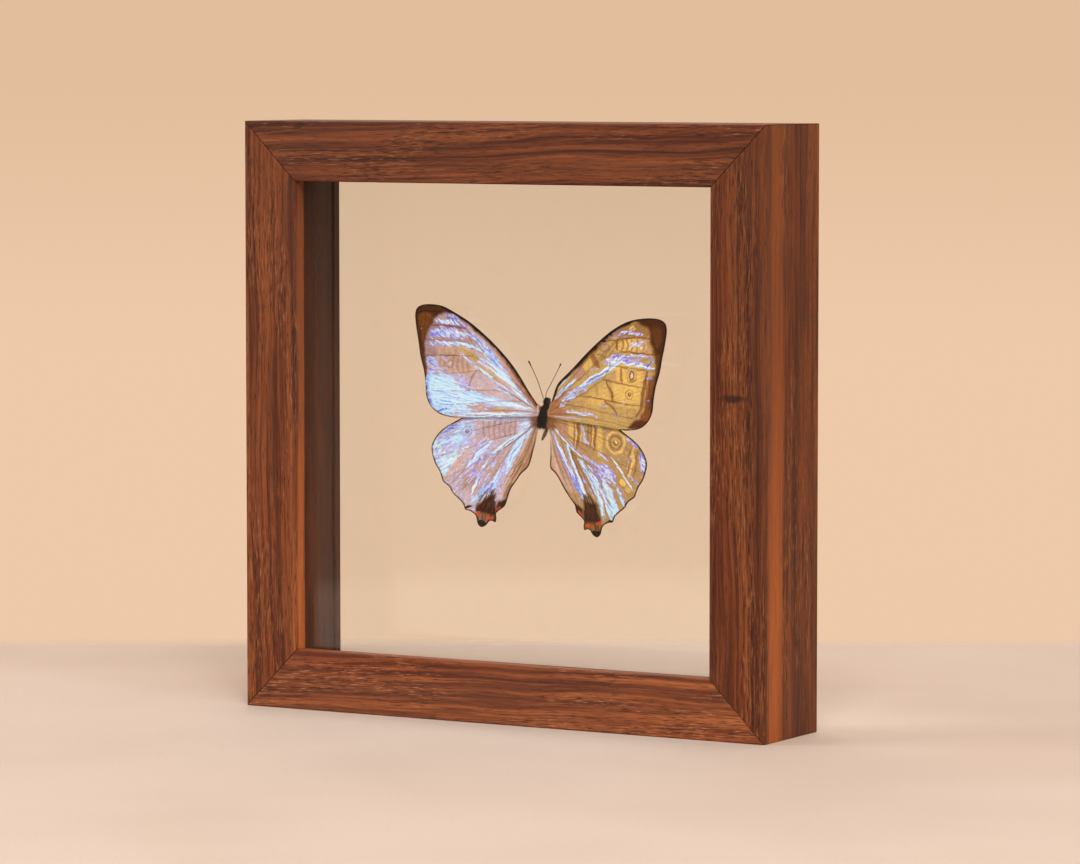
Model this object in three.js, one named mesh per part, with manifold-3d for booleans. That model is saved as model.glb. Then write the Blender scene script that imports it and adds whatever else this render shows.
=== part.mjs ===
// A butterfly specimen between two panes of glass in a deep walnut frame.
// Millimetres, +Z up. The frame's front looks along -Y, and the origin is the middle of its foot.
// Four mitred rails carry a rebate, open at the back, which takes the front pane, four spacer
// strips, the back pane and four stops. The butterfly is fixed to the back pane by a dab of glue.

import * as THREE from "three";
import { mergeVertices } from "three/addons/utils/BufferGeometryUtils.js";
import Module from "manifold-3d";

const wasm = await Module();
wasm.setup();

// Frame
const FRAME_SIDE = 180;
const FRAME_DEPTH = 34;
const RAIL_FACE = 18.3; // width of the rails seen from the front
const LIP_DEPTH = 5.1; // wood in front of the front pane
const REBATE = 7.5; // how far the rebate is cut back from the opening
const EASED_EDGE = 0.4; // bevel along the long edges
const JOINT = 0.15; // gap from a mitre's middle to each rail

// Panes, spacers and stops
const GLASS_THICK = 2;
const BACK_PANE_AT = 28.8; // from the frame's front to the back pane's front face
const STRIP_THICK = 2.8;
const PANE_PLAY = 0.5; // room between a pane's edge and the rebate
const FACE_PLAY = 0.1; // room between parts stacked in the rebate
const STRIP_PLAY = 0.2; // room between a strip and the rebate's wall

// Specimen: where it is in the frame, and how it is set
const SPECIMEN_X = 1.6;
const SPECIMEN_Z = 92.1;
const SPECIMEN_DEPTH = 26.4; // from the frame's front
const SPECIMEN_TURN = 1.7; // degrees clockwise, seen from the front
const DIHEDRAL = 5.5; // degrees that each pair of wings rises towards the front
const WING_THICK = 0.3;
const FOREWING_LIFT = 0.7; // how far the forewings lie in front of the hindwings
const VEIN_RADIUS = { root: 0.26, end: 0.16 };

// Body, in the specimen's own frame: its middle, its lean past the wings, and its parts
const BODY_AT = { x: -0.3, z: -1.3 };
const BODY_TURN = 7; // degrees clockwise
const THORAX_LENGTH = 6.3;
const GLUED_FACE = 1.5; // how far behind the body's axis the thorax is flat
const HEAD_RADIUS = 1.15;
const HEAD_AT = { x: 0.25, z: 4.7 }; // from the thorax's middle, along the body
const ABDOMEN_LENGTH = 4.1;
const ABDOMEN_RADIUS = 0.56;
const ABDOMEN_TURN = 25;
const SHAFT_RADIUS = 0.11;
const CLUB_RADIUS = 0.23;

const FRONT = -FRAME_DEPTH / 2;
const rad = THREE.MathUtils.degToRad;

const walnut = new THREE.MeshStandardMaterial({ color: 0x6b3a24, roughness: 0.55, metalness: 0 });
const paleGlass = new THREE.MeshStandardMaterial({
  color: 0xdfeee8, roughness: 0.03, metalness: 0, transparent: true, opacity: 0.2,
});
const clearGlue = new THREE.MeshStandardMaterial({
  color: 0xe8e2d0, roughness: 0.2, metalness: 0, transparent: true, opacity: 0.5,
});
const pearlWing = new THREE.MeshStandardMaterial({ color: 0xb9b6d8, roughness: 0.4, metalness: 0 });
const blackFur = new THREE.MeshStandardMaterial({ color: 0x14110f, roughness: 0.9, metalness: 0 });
const drySkin = new THREE.MeshStandardMaterial({ color: 0x4a4022, roughness: 0.7, metalness: 0 });

function named(name, geometry, material) {
  const mesh = new THREE.Mesh(geometry, material);
  mesh.name = name;
  return mesh;
}

function closedMesh(positions, triangles) {
  const geometry = new THREE.BufferGeometry();
  geometry.setAttribute("position", new THREE.Float32BufferAttribute(positions, 3));
  geometry.setIndex(triangles);
  return geometry;
}

function solid(geometry) {
  const bare = geometry.clone();
  bare.deleteAttribute("normal");
  bare.deleteAttribute("uv");
  const merged = mergeVertices(bare, 1e-4);
  return new wasm.Manifold(new wasm.Mesh({
    numProp: 3,
    vertProperties: new Float32Array(merged.attributes.position.array),
    triVerts: new Uint32Array(merged.index.array),
  }));
}

function geometryOf(manifold) {
  const mesh = manifold.getMesh();
  return closedMesh(Array.from(mesh.vertProperties), Array.from(mesh.triVerts));
}

function joined(first, ...others) {
  const whole = others.reduce((sum, other) => sum.add(solid(other)), solid(first));
  return geometryOf(whole);
}

// A bar along X with mitred ends. Its section is a list of [depth, height] points, with depth from
// the frame's front and height from the frame's outer face, so each end is slid in by its height.
function mitredBar(section) {
  const shape = new THREE.Shape(section.map(([depth, height]) => new THREE.Vector2(depth, height)));
  const bar = new THREE.ExtrudeGeometry(shape, { depth: 1, steps: 1, bevelEnabled: false });
  const at = bar.getAttribute("position");
  for (let i = 0; i < at.count; i++) {
    const depth = at.getX(i);
    const height = at.getY(i);
    const side = at.getZ(i) > 0.5 ? 1 : -1;
    at.setXYZ(i, side * (FRAME_SIDE / 2 - height - JOINT), FRONT + depth, height - FRAME_SIDE / 2);
  }
  return bar;
}

// The same bar on all four sides of the frame, with each side's name after the stem.
function fourSides(stem, section) {
  const ring = new THREE.Group();
  ["bottom", "left", "top", "right"].forEach((side, quarter) => {
    const bar = named(`${stem}_${side}`, mitredBar(section), walnut);
    bar.rotation.y = quarter * Math.PI / 2;
    ring.add(bar);
  });
  return ring;
}

function railSection() {
  const e = EASED_EDGE;
  const wall = RAIL_FACE - REBATE;
  return [
    [e, 0], [FRAME_DEPTH - e, 0], [FRAME_DEPTH, e], [FRAME_DEPTH, wall],
    [LIP_DEPTH, wall], [LIP_DEPTH, RAIL_FACE - e / 2], [LIP_DEPTH - e / 2, RAIL_FACE],
    [e, RAIL_FACE], [0, RAIL_FACE - e], [0, e],
  ];
}

// A strip against the rebate's wall from one depth to another, with its two inner edges eased.
function stripSection(from, to) {
  const low = RAIL_FACE - REBATE + STRIP_PLAY;
  const high = low + STRIP_THICK;
  const e = EASED_EDGE / 2;
  return [[from, low], [to, low], [to, high - e], [to - e, high], [from + e, high], [from, high - e]];
}

function pane(name, depth) {
  const side = FRAME_SIDE - 2 * (RAIL_FACE - REBATE + PANE_PLAY);
  const plate = named(name, new THREE.BoxGeometry(side, GLASS_THICK, side), paleGlass);
  plate.position.y = FRONT + depth + GLASS_THICK / 2;
  return plate;
}

function framework() {
  const frontPaneAt = LIP_DEPTH + FACE_PLAY;
  const spacerFrom = frontPaneAt + GLASS_THICK + FACE_PLAY;
  const stopFrom = BACK_PANE_AT + GLASS_THICK + FACE_PLAY;
  const frame = new THREE.Group();
  frame.position.z = FRAME_SIDE / 2;
  frame.add(fourSides("rail", railSection()));
  frame.add(pane("glass_front", frontPaneAt));
  frame.add(fourSides("spacer", stripSection(spacerFrom, BACK_PANE_AT - FACE_PLAY)));
  frame.add(pane("glass_back", BACK_PANE_AT));
  frame.add(fourSides("back_stop", stripSection(stopFrom, FRAME_DEPTH - FACE_PLAY)));
  return frame;
}

// The wings' lists hold [out from the body's axis, up] in the specimen's own frame, for both
// sides. Only the forewings' base and the hindwings' inner edge differ from side to side.
const FOREWING = {
  own: {
    left: [[2.2, 2.4], [5, 6], [10, 12.9], [15, 18.1], [20, 22.3], [25, 25.9], [30, 28.6]],
    right: [[2.8, 3.7], [4.2, 7.8], [5.6, 10], [10, 14], [15, 18.9], [20, 23.3], [25, 27], [30, 29.5]],
  },
  shared: [
    [35, 30.7], [40, 31], [43, 30.1], [44, 28], [43.6, 24], [42.7, 19.5], [41.9, 15], [40.7, 11],
    [40, 7], [39.6, 3], [38.1, 0], [35.6, -2], [32.3, -2.9], [28, -3.1], [20, -2.5], [10, -1.8],
    [1.9, -1], [1.8, 1.3],
  ],
  veins: [
    [[2.4, 1.9], [9, 10.2], [17, 18.2], [24, 23.8]],
    [[2.4, 1.3], [8, 7.2], [15, 13], [20, 17], [23.5, 19], [28, 20.2], [34, 20.4], [42.2, 20]],
    [[17, 14.6], [23, 21], [29, 26.4]],
    [[20.5, 17.4], [27, 24.2], [33.5, 28.6]],
    [[23.5, 19], [28, 23.8], [34.5, 24.9], [43.1, 24.4]],
    [[2.4, 0.8], [9, 4.2], [15, 7.3], [21.5, 11.5], [26, 11], [34.5, 10.2], [39.9, 9.9]],
    [[21.5, 11.5], [22.8, 13.6], [24, 16], [23.5, 19]],
    [[24, 16], [29, 15.9], [35, 15.6], [41.5, 15.2]],
    [[13, 6.2], [21, 5.8], [29, 5.1], [39.3, 4.6]],
    [[7, 3.2], [15, 2.8], [25, 1.5], [37.6, 0.2]],
    [[2.4, 0.1], [12, 0.2], [24, -0.9], [32, -2.2]],
  ],
};
const HINDWING = {
  shared: [
    [2.2, -1.2], [9, 1], [16, 1.2], [23, -0.4], [28, -3.2], [30.3, -4.5], [32.8, -6], [35, -7.7],
    [36.8, -10], [37.8, -12.5], [37.4, -15.2], [36.5, -17.6], [35, -19.8], [34.2, -21.6],
    [33.6, -23], [31.5, -24.5], [30.2, -26.4], [28.3, -27.9], [26.7, -29.4], [25.9, -31.1],
    [24.4, -31.4], [22.5, -32.5], [21.9, -34], [21.5, -35.3], [20.3, -36.1], [18.8, -35.4],
    [17.7, -34.1], [16.6, -34], [15.7, -34.3], [15.4, -33], [15.5, -31.5], [13.6, -29.9], [12.6, -29],
    [11.9, -27],
  ],
  own: {
    left: [[10.9, -24], [9.3, -21.6], [7.5, -19], [5, -16.4], [3.7, -12], [2.7, -8], [2.2, -4.6]],
    right: [[10, -25], [7.5, -22], [5.9, -19.7], [4.3, -17.9], [2.5, -16.3], [2.5, -12], [2.2, -8], [2.2, -4.6]],
  },
  veins: [
    [[2.8, -1.6], [12, 0], [22, -1.2], [30, -4.8]],
    [[2.8, -2.1], [13, -3.8], [24, -6.8], [36.3, -10]],
    [[9, -6.6], [19, -9.6], [28, -13.2], [36.9, -15.4]],
    [[2.8, -2.8], [5.5, -5.2], [9.5, -8.8], [14, -11.8], [20, -15], [27, -19], [33.7, -22.1]],
    [[14, -11.8], [19.5, -18], [25, -23.4], [29.9, -26.2]],
    [[9.5, -8.8], [13, -14.5], [18.5, -22.5], [25.4, -30.6]],
    [[5.5, -5.2], [8.5, -13.5], [13, -21.5], [17.5, -28], [20.3, -35.4]],
    [[2.8, -3.8], [5.6, -12], [10, -20.5], [13.5, -27], [16, -33.4]],
    [[2.8, -6], [3.9, -11.5], [7, -17.5], [11.4, -25.2]],
  ],
};

// A thin round rod through [x, y, z] points, its radius given for each share of its length.
function rod(points, radiusAt, steps, sides) {
  const curve = new THREE.CatmullRomCurve3(points.map((p) => new THREE.Vector3(...p)));
  const frames = curve.computeFrenetFrames(steps, false);
  const positions = [];
  for (let step = 0; step <= steps; step++) {
    const centre = curve.getPointAt(step / steps);
    for (let k = 0; k < sides; k++) {
      const angle = 2 * Math.PI * k / sides;
      const spoke = frames.normals[step].clone().multiplyScalar(Math.cos(angle));
      spoke.addScaledVector(frames.binormals[step], Math.sin(angle));
      positions.push(...centre.clone().addScaledVector(spoke, radiusAt(step / steps)).toArray());
    }
  }
  const ends = [0, steps].map((step) => {
    positions.push(...curve.getPointAt(step / steps).toArray());
    return positions.length / 3 - 1;
  });
  const triangles = [];
  for (let k = 0; k < sides; k++) {
    const next = (k + 1) % sides;
    for (let step = 0; step < steps; step++) {
      const low = step * sides;
      const high = low + sides;
      triangles.push(low + k, low + next, high + k, low + next, high + next, high + k);
    }
    triangles.push(ends[0], next, k);
    triangles.push(ends[1], steps * sides + k, steps * sides + next);
  }
  return closedMesh(positions, triangles);
}

// One wing: a thin plate in its outline with a rib along each vein. It lies in the XZ plane with
// its front face at y = -WING_THICK. side is 1 for the right wing and -1 for the left.
function wing({ own, shared, veins }, side, ownFirst) {
  const base = own[side > 0 ? "right" : "left"];
  const rim = ownFirst ? [...base, ...shared] : [...shared, ...base];
  const curve = new THREE.SplineCurve([...rim, rim[0]].map(([x, up]) => new THREE.Vector2(side * x, up)));
  const shape = new THREE.Shape(curve.getPoints(2 * rim.length).slice(0, -1));
  const plate = new THREE.ExtrudeGeometry(shape, { depth: WING_THICK, steps: 1, bevelEnabled: false });
  const taper = (share) => THREE.MathUtils.lerp(VEIN_RADIUS.root, VEIN_RADIUS.end, share);
  const ribs = veins.map((line) => {
    const route = line.map(([x, up]) => [side * x, up, WING_THICK / 2]);
    return rod(route, taper, line.length + 2, 4);
  });
  const made = joined(plate, ...ribs);
  made.rotateX(Math.PI / 2);
  return made;
}

// A turned form about Z from its low tip to its high one through [height, radius] points between
// them, flattened along Y.
function turned(tips, rings, sides, flatten) {
  const profile = [new THREE.Vector2(0, tips[0])];
  rings.forEach(([height, radius]) => profile.push(new THREE.Vector2(radius, height)));
  profile.push(new THREE.Vector2(0, tips[1]));
  const form = new THREE.LatheGeometry(profile, sides);
  form.rotateX(Math.PI / 2);
  form.scale(1, flatten, 1);
  return form;
}

function ball(radius, x, y, z, stretch) {
  const made = new THREE.SphereGeometry(radius, 12, 8);
  made.scale(1, 1, stretch);
  made.translate(x, y, z);
  return made;
}

// The head with its two eyes at the sides and its two palps in front of the brow.
function headForm() {
  const skull = ball(HEAD_RADIUS, 0, 0, 0, 0.95);
  const eyes = [-1, 1].map((side) => ball(0.62 * HEAD_RADIUS, side * 0.55 * HEAD_RADIUS, -0.2, 0.05, 1.1));
  const palps = [-1, 1].map((side) => ball(0.3 * HEAD_RADIUS, side * 0.28, -0.3, 0.85, 1.4));
  return joined(skull, ...eyes, ...palps);
}

// The thorax with the stump of a leg below it, cut flat behind where it is glued.
function thoraxForm() {
  const half = THORAX_LENGTH / 2;
  const rings = [
    [-0.98, 0.8], [-0.9, 1.25], [-0.72, 1.5], [-0.38, 1.66], [0, 1.7],
    [0.38, 1.6], [0.7, 1.4], [0.88, 1.1], [0.97, 0.7],
  ].map(([share, radius]) => [share * half, radius]);
  const trunk = turned([-half, half], rings, 20, 1);
  const stump = rod([[-0.6, -0.2, -2.6], [-0.8, -0.3, -3.4], [-0.95, -0.35, -3.95]], () => 0.24, 2, 6);
  const cut = new THREE.BoxGeometry(8, 2, 10);
  cut.translate(0, GLUED_FACE + 1, 0);
  return geometryOf(solid(trunk).add(solid(stump)).subtract(solid(cut)));
}

// A shrunken abdomen that hangs from its top end: soft segments that taper to a blunt tip.
function abdomenForm() {
  const SEGMENTS = 7;
  const rings = [];
  for (let step = 1; step < 2 * SEGMENTS; step++) {
    const share = step / (2 * SEGMENTS); // from the low tip up
    const swell = step % 2 ? 1 : 0.86;
    const taper = Math.sin(Math.PI * (0.12 + 0.66 * share));
    rings.push([-ABDOMEN_LENGTH * (1 - share), ABDOMEN_RADIUS * swell * taper]);
  }
  return turned([-ABDOMEN_LENGTH, 0], rings, 12, 0.85);
}

// Thin shafts that part from the brow and end in slight clubs, through points chosen by hand.
const ANTENNAE = {
  left: [[-0.3, -0.85, 4.4], [-1.85, -1.25, 8.8], [-3.6, -1.8, 12.8], [-5.2, -2, 15.6]],
  right: [[0.45, -0.85, 4.8], [0.9, -1, 6.5], [2.3, -1.2, 8.9], [5.45, -1.9, 14.1], [6.1, -2, 15.4]],
};

function antennaForm(points) {
  const swell = (share) => THREE.MathUtils.smoothstep(share, 0.72, 0.9);
  const radiusAt = (share) => THREE.MathUtils.lerp(SHAFT_RADIUS, CLUB_RADIUS, swell(share));
  return rod(points, radiusAt, 14, 7);
}

function body() {
  const lean = new THREE.Group();
  lean.position.set(BODY_AT.x, 0, BODY_AT.z);
  lean.rotation.y = rad(BODY_TURN);
  const head = named("head", headForm(), blackFur);
  head.position.set(HEAD_AT.x, 0, HEAD_AT.z);
  lean.add(head, named("thorax", thoraxForm(), blackFur));
  return lean;
}

// The dab of clear glue that fills the space from the thorax's flat back to the back pane.
function glueDab() {
  const gap = BACK_PANE_AT - SPECIMEN_DEPTH - GLUED_FACE;
  const dab = named("glue_dab", new THREE.CylinderGeometry(1.7, 1.2, gap - 2 * FACE_PLAY, 20), clearGlue);
  dab.position.set(BODY_AT.x, GLUED_FACE + gap / 2, BODY_AT.z);
  return dab;
}

function specimen() {
  const whole = new THREE.Group();
  whole.position.set(SPECIMEN_X, FRONT + SPECIMEN_DEPTH, SPECIMEN_Z);
  whole.rotation.y = rad(SPECIMEN_TURN);
  for (const [word, side] of [["left", -1], ["right", 1]]) {
    const forewing = named(`forewing_${word}`, wing(FOREWING, side, true), pearlWing);
    forewing.position.y = -FOREWING_LIFT;
    const hindwing = named(`hindwing_${word}`, wing(HINDWING, side, false), pearlWing);
    forewing.rotation.z = hindwing.rotation.z = -side * rad(DIHEDRAL);
    const antenna = named(`antenna_${word}`, antennaForm(ANTENNAE[word]), blackFur);
    whole.add(forewing, hindwing, antenna);
  }
  const abdomen = named("abdomen", abdomenForm(), drySkin);
  abdomen.position.set(0.35, 0.8, -4.8);
  abdomen.rotation.y = rad(ABDOMEN_TURN);
  whole.add(body(), abdomen, glueDab());
  return whole;
}

const part = new THREE.Group();
part.add(framework(), specimen());

export default part;
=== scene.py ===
"""A butterfly specimen between two panes of glass in a deep walnut frame.

Dresses the frame's solids, builds the specimen in full detail, and sets up the floor, the lamps and
the camera. Lists of points are in millimetres in the specimen's own frame. Objects are in metres.
"""

import math

import bpy
import numpy as np
from mathutils import Matrix, Vector


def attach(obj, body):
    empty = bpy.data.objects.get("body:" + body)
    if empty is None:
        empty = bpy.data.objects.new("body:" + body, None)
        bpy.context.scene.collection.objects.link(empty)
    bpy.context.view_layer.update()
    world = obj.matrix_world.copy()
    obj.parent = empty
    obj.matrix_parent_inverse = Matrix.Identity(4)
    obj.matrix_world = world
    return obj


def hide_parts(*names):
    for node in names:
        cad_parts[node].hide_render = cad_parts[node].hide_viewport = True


bl_info = {
    "name": "Framed Butterfly Specimen",
    "version": (1, 0, 0),
    "blender": (4, 5, 0),
    "location": "3D View > Sidebar > Specimen",
    "description": "Builds a butterfly specimen in a walnut frame, with its floor, lamps and camera",
    "category": "Object",
}

MM = 0.001
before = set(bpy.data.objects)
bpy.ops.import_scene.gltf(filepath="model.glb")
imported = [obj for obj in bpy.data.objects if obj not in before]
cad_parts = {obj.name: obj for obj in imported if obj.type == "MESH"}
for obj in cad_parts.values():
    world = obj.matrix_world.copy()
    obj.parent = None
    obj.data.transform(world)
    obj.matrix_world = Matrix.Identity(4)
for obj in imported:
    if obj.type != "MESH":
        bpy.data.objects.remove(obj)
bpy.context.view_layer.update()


# Colours are given as on screen, from 0 to 255, and turned into the values that shaders use.
def tone(red, green, blue):
    def straight(value):
        share = value / 255
        return share / 12.92 if share <= 0.04045 else ((share + 0.055) / 1.055) ** 2.4

    return (straight(red), straight(green), straight(blue), 1.0)


def colour_property(name, description, default):
    return bpy.props.FloatVectorProperty(
        name=name, description=description, subtype="COLOR", size=4, min=0, max=1, default=default
    )


class SpecimenFrameSettings(bpy.types.PropertyGroup):
    """Colours of the wood and the glass."""

    wood_dark: colour_property("Dark Grain", "Colour of the dark bands in the walnut", tone(66, 33, 22))
    wood_mid: colour_property("Walnut", "Main colour of the walnut", tone(112, 60, 34))
    wood_light: colour_property("Light Grain", "Colour of the light bands in the walnut", tone(146, 88, 54))
    # Painted shade, laid over the walnut of the strips as they lie in shadow in the rebate.
    strip_painted_shade: colour_property(
        "Strip Shade", "Shade laid over the walnut of the strips", (0.36, 0.27, 0.2, 1.0)
    )
    glass_tint: colour_property("Glass", "Tint of the panes", (0.975, 0.99, 0.985, 1.0))


class SpecimenButterflySettings(bpy.types.PropertyGroup):
    """Colours of the butterfly's hair and sheen, and how thick its hairs are."""

    fur_dark: colour_property("Fur Roots", "Colour of the fur near the skin", tone(5, 4, 4))
    fur_light: colour_property("Fur Tips", "Colour of the lightest hairs of the fur", tone(24, 18, 15))
    red_dark: colour_property("Wing Root Hair", "Colour of the hair over the wing roots", tone(138, 80, 46))
    red_light: colour_property("Wing Root Hair Tips", "Colour of its lightest hairs", tone(218, 152, 100))
    gleam: colour_property("Gleam", "Colour of the brightest pearly scales", tone(236, 247, 255))
    glow: colour_property("Blue Sheen", "Colour of the thinnest pearly scales", tone(124, 160, 240))
    hair_width: bpy.props.FloatProperty(
        name="Hair Width", description="Thickness of a hair of the fur", subtype="DISTANCE",
        default=0.00009, min=0.00002, max=0.0003,
    )


class SpecimenStageSettings(bpy.types.PropertyGroup):
    """The camera, the lamps, the floor and the light behind them."""

    azimuth: bpy.props.FloatProperty(
        name="Camera Azimuth", description="How far the camera stands round to the right of the front",
        subtype="ANGLE", default=math.radians(30.248),
    )
    elevation: bpy.props.FloatProperty(
        name="Camera Elevation", description="How far the camera looks down",
        subtype="ANGLE", default=math.radians(4.287),
    )
    distance: bpy.props.FloatProperty(
        name="Camera Distance", description="From the camera to the point it looks at",
        subtype="DISTANCE", default=1.4874,
    )
    aim: bpy.props.FloatVectorProperty(
        name="Camera Aim", description="Point that the camera looks at",
        subtype="TRANSLATION", size=3, default=(0.0147, -0.017, 0.08847),
    )
    lens: bpy.props.FloatProperty(
        name="Lens", description="Focal length in millimetres", default=167.11, min=20,
    )
    floor_colour: colour_property("Floor", "Colour of the floor", tone(210, 197, 190))
    far_colour: colour_property("Background", "Colour behind the frame", tone(226, 190, 157))
    low_colour: colour_property(
        "Low Background", "Colour behind the frame near the floor", tone(237, 201, 169)
    )
    table_colour: colour_property(
        "Table", "Colour below the horizon in front of the frame", tone(176, 148, 126)
    )
    room_colour: colour_property("Room", "Colour in front of the frame", tone(80, 64, 52))


class Finish:
    """A node tree in the making, for a material or for the world's light."""

    def __init__(self, name, library="materials"):
        self.owner = getattr(bpy.data, library).new(name)
        self.owner.use_nodes = True
        self.tree = self.owner.node_tree
        self.tree.nodes.clear()

    def node(self, kind, inputs=None, **settings):
        made = self.tree.nodes.new("ShaderNode" + kind)
        for name, value in settings.items():
            setattr(made, name, value)
        for socket, value in (inputs or {}).items():
            self.feed(made.inputs[socket], value)
        return made

    def feed(self, socket, value):
        if isinstance(value, bpy.types.NodeSocket):
            self.tree.links.new(value, socket)
        else:
            socket.default_value = value

    def maths(self, operation, a, b=0.5, c=0.5, clamp=False):
        return self.node("Math", {0: a, 1: b, 2: c}, operation=operation, use_clamp=clamp).outputs[0]

    def times(self, a, b, plus=None):
        if plus is None:
            return self.maths("MULTIPLY", a, b)
        return self.maths("MULTIPLY_ADD", a, b, plus)

    def moved(self, vector, shift):
        return self.node("VectorMath", {0: vector, 1: shift}, operation="ADD").outputs[0]

    def noise(self, vector, scale, detail=2.0, roughness=0.5):
        inputs = {"Vector": vector, "Scale": scale, "Detail": detail, "Roughness": roughness}
        return self.node("TexNoise", inputs).outputs["Fac"]

    # Noise with a scale of its own along each axis.
    def drawn_noise(self, vector, scale, detail=2.0, roughness=0.5):
        scaled = self.node("VectorMath", {0: vector, 1: scale}, operation="MULTIPLY").outputs[0]
        return self.noise(scaled, 1.0, detail, roughness)

    def span(self, value, low, high, to_low=0.0, to_high=1.0):
        inputs = {"Value": value, "From Min": low, "From Max": high, "To Min": to_low, "To Max": to_high}
        return self.node("MapRange", inputs, interpolation_type="SMOOTHSTEP").outputs["Result"]

    def mix(self, factor, a, b, blend="MIX"):
        made = self.node("Mix", {0: factor, 6: a, 7: b}, data_type="RGBA", blend_type=blend)
        return made.outputs[2]

    def ramp(self, value, *stops):
        made = self.node("ValToRGB", {"Fac": value})
        ends = made.color_ramp.elements
        while len(ends) < len(stops):
            ends.new(0.5)
        for end, (place, colour) in zip(ends, stops):
            end.position = place
            end.color = colour
        return made.outputs["Color"]

    def attribute(self, name):
        return self.node("Attribute", attribute_name=name).outputs

    def bump(self, height, strength, distance):
        inputs = {"Height": height, "Strength": strength, "Distance": distance}
        return self.node("Bump", inputs).outputs["Normal"]

    def place(self):
        return self.node("TexCoord").outputs["Object"]

    def surface(self, inputs):
        return self.node("BsdfPrincipled", inputs).outputs["BSDF"]

    def blend(self, share, first, second):
        return self.node("MixShader", {0: share, 1: first, 2: second}).outputs[0]

    def done(self, shader, output="OutputMaterial"):
        self.node(output, {"Surface": shader})
        return self.owner


def dress(node_name, material):
    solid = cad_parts[node_name]
    solid.data.materials.clear()
    solid.data.materials.append(material)


# Each rail's board: where in the wood its grain is taken from, its shade and how far its grain leans.
# The shade is painted light: the bottom rail is made much lighter for the light it gets from the floor,
# and the upright ones are tinted for how they are lit. The upright ones have a light band, given by
# its depth and width: on the left rail it is painted lamp light on the lip's inner face, on the right
# one a light streak. The right one has a knot, given by its place and radius. Lengths are in metres.
BOARDS = {
    "top": {"shift": (0.31, 0.12, 0.05), "slant": -0.03},
    "bottom": {"shift": (1.72, 0.47, 0.21), "shade": (1.8, 1.9, 1.85, 1), "slant": -0.02},
    "left": {
        "shift": (2.14, 0.83, 0.34), "upright": True, "shade": (1.15, 1.12, 1, 1), "slant": 0.01,
        "streak_and_lit_face": (-0.0140, 0.0028),
    },
    "right": {
        "shift": (3.47, 1.29, 0.66), "upright": True, "shade": (1, 1, 0.88, 1), "slant": 0.005,
        "streak_and_lit_face": (-0.0105, 0.0055), "knot": (0.0795, 0.1005, 0.0062),
    },
}
PLAIN = (1, 1, 1, 1)  # a shade that changes nothing
LOW_PAINTED_LIGHT = (1.14, 1.12, 1.04, 1.0)  # painted light: upright timber is made lighter towards the floor
KNOT_SQUASH = 3.2  # how much longer a knot is across the grain than along it


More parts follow.
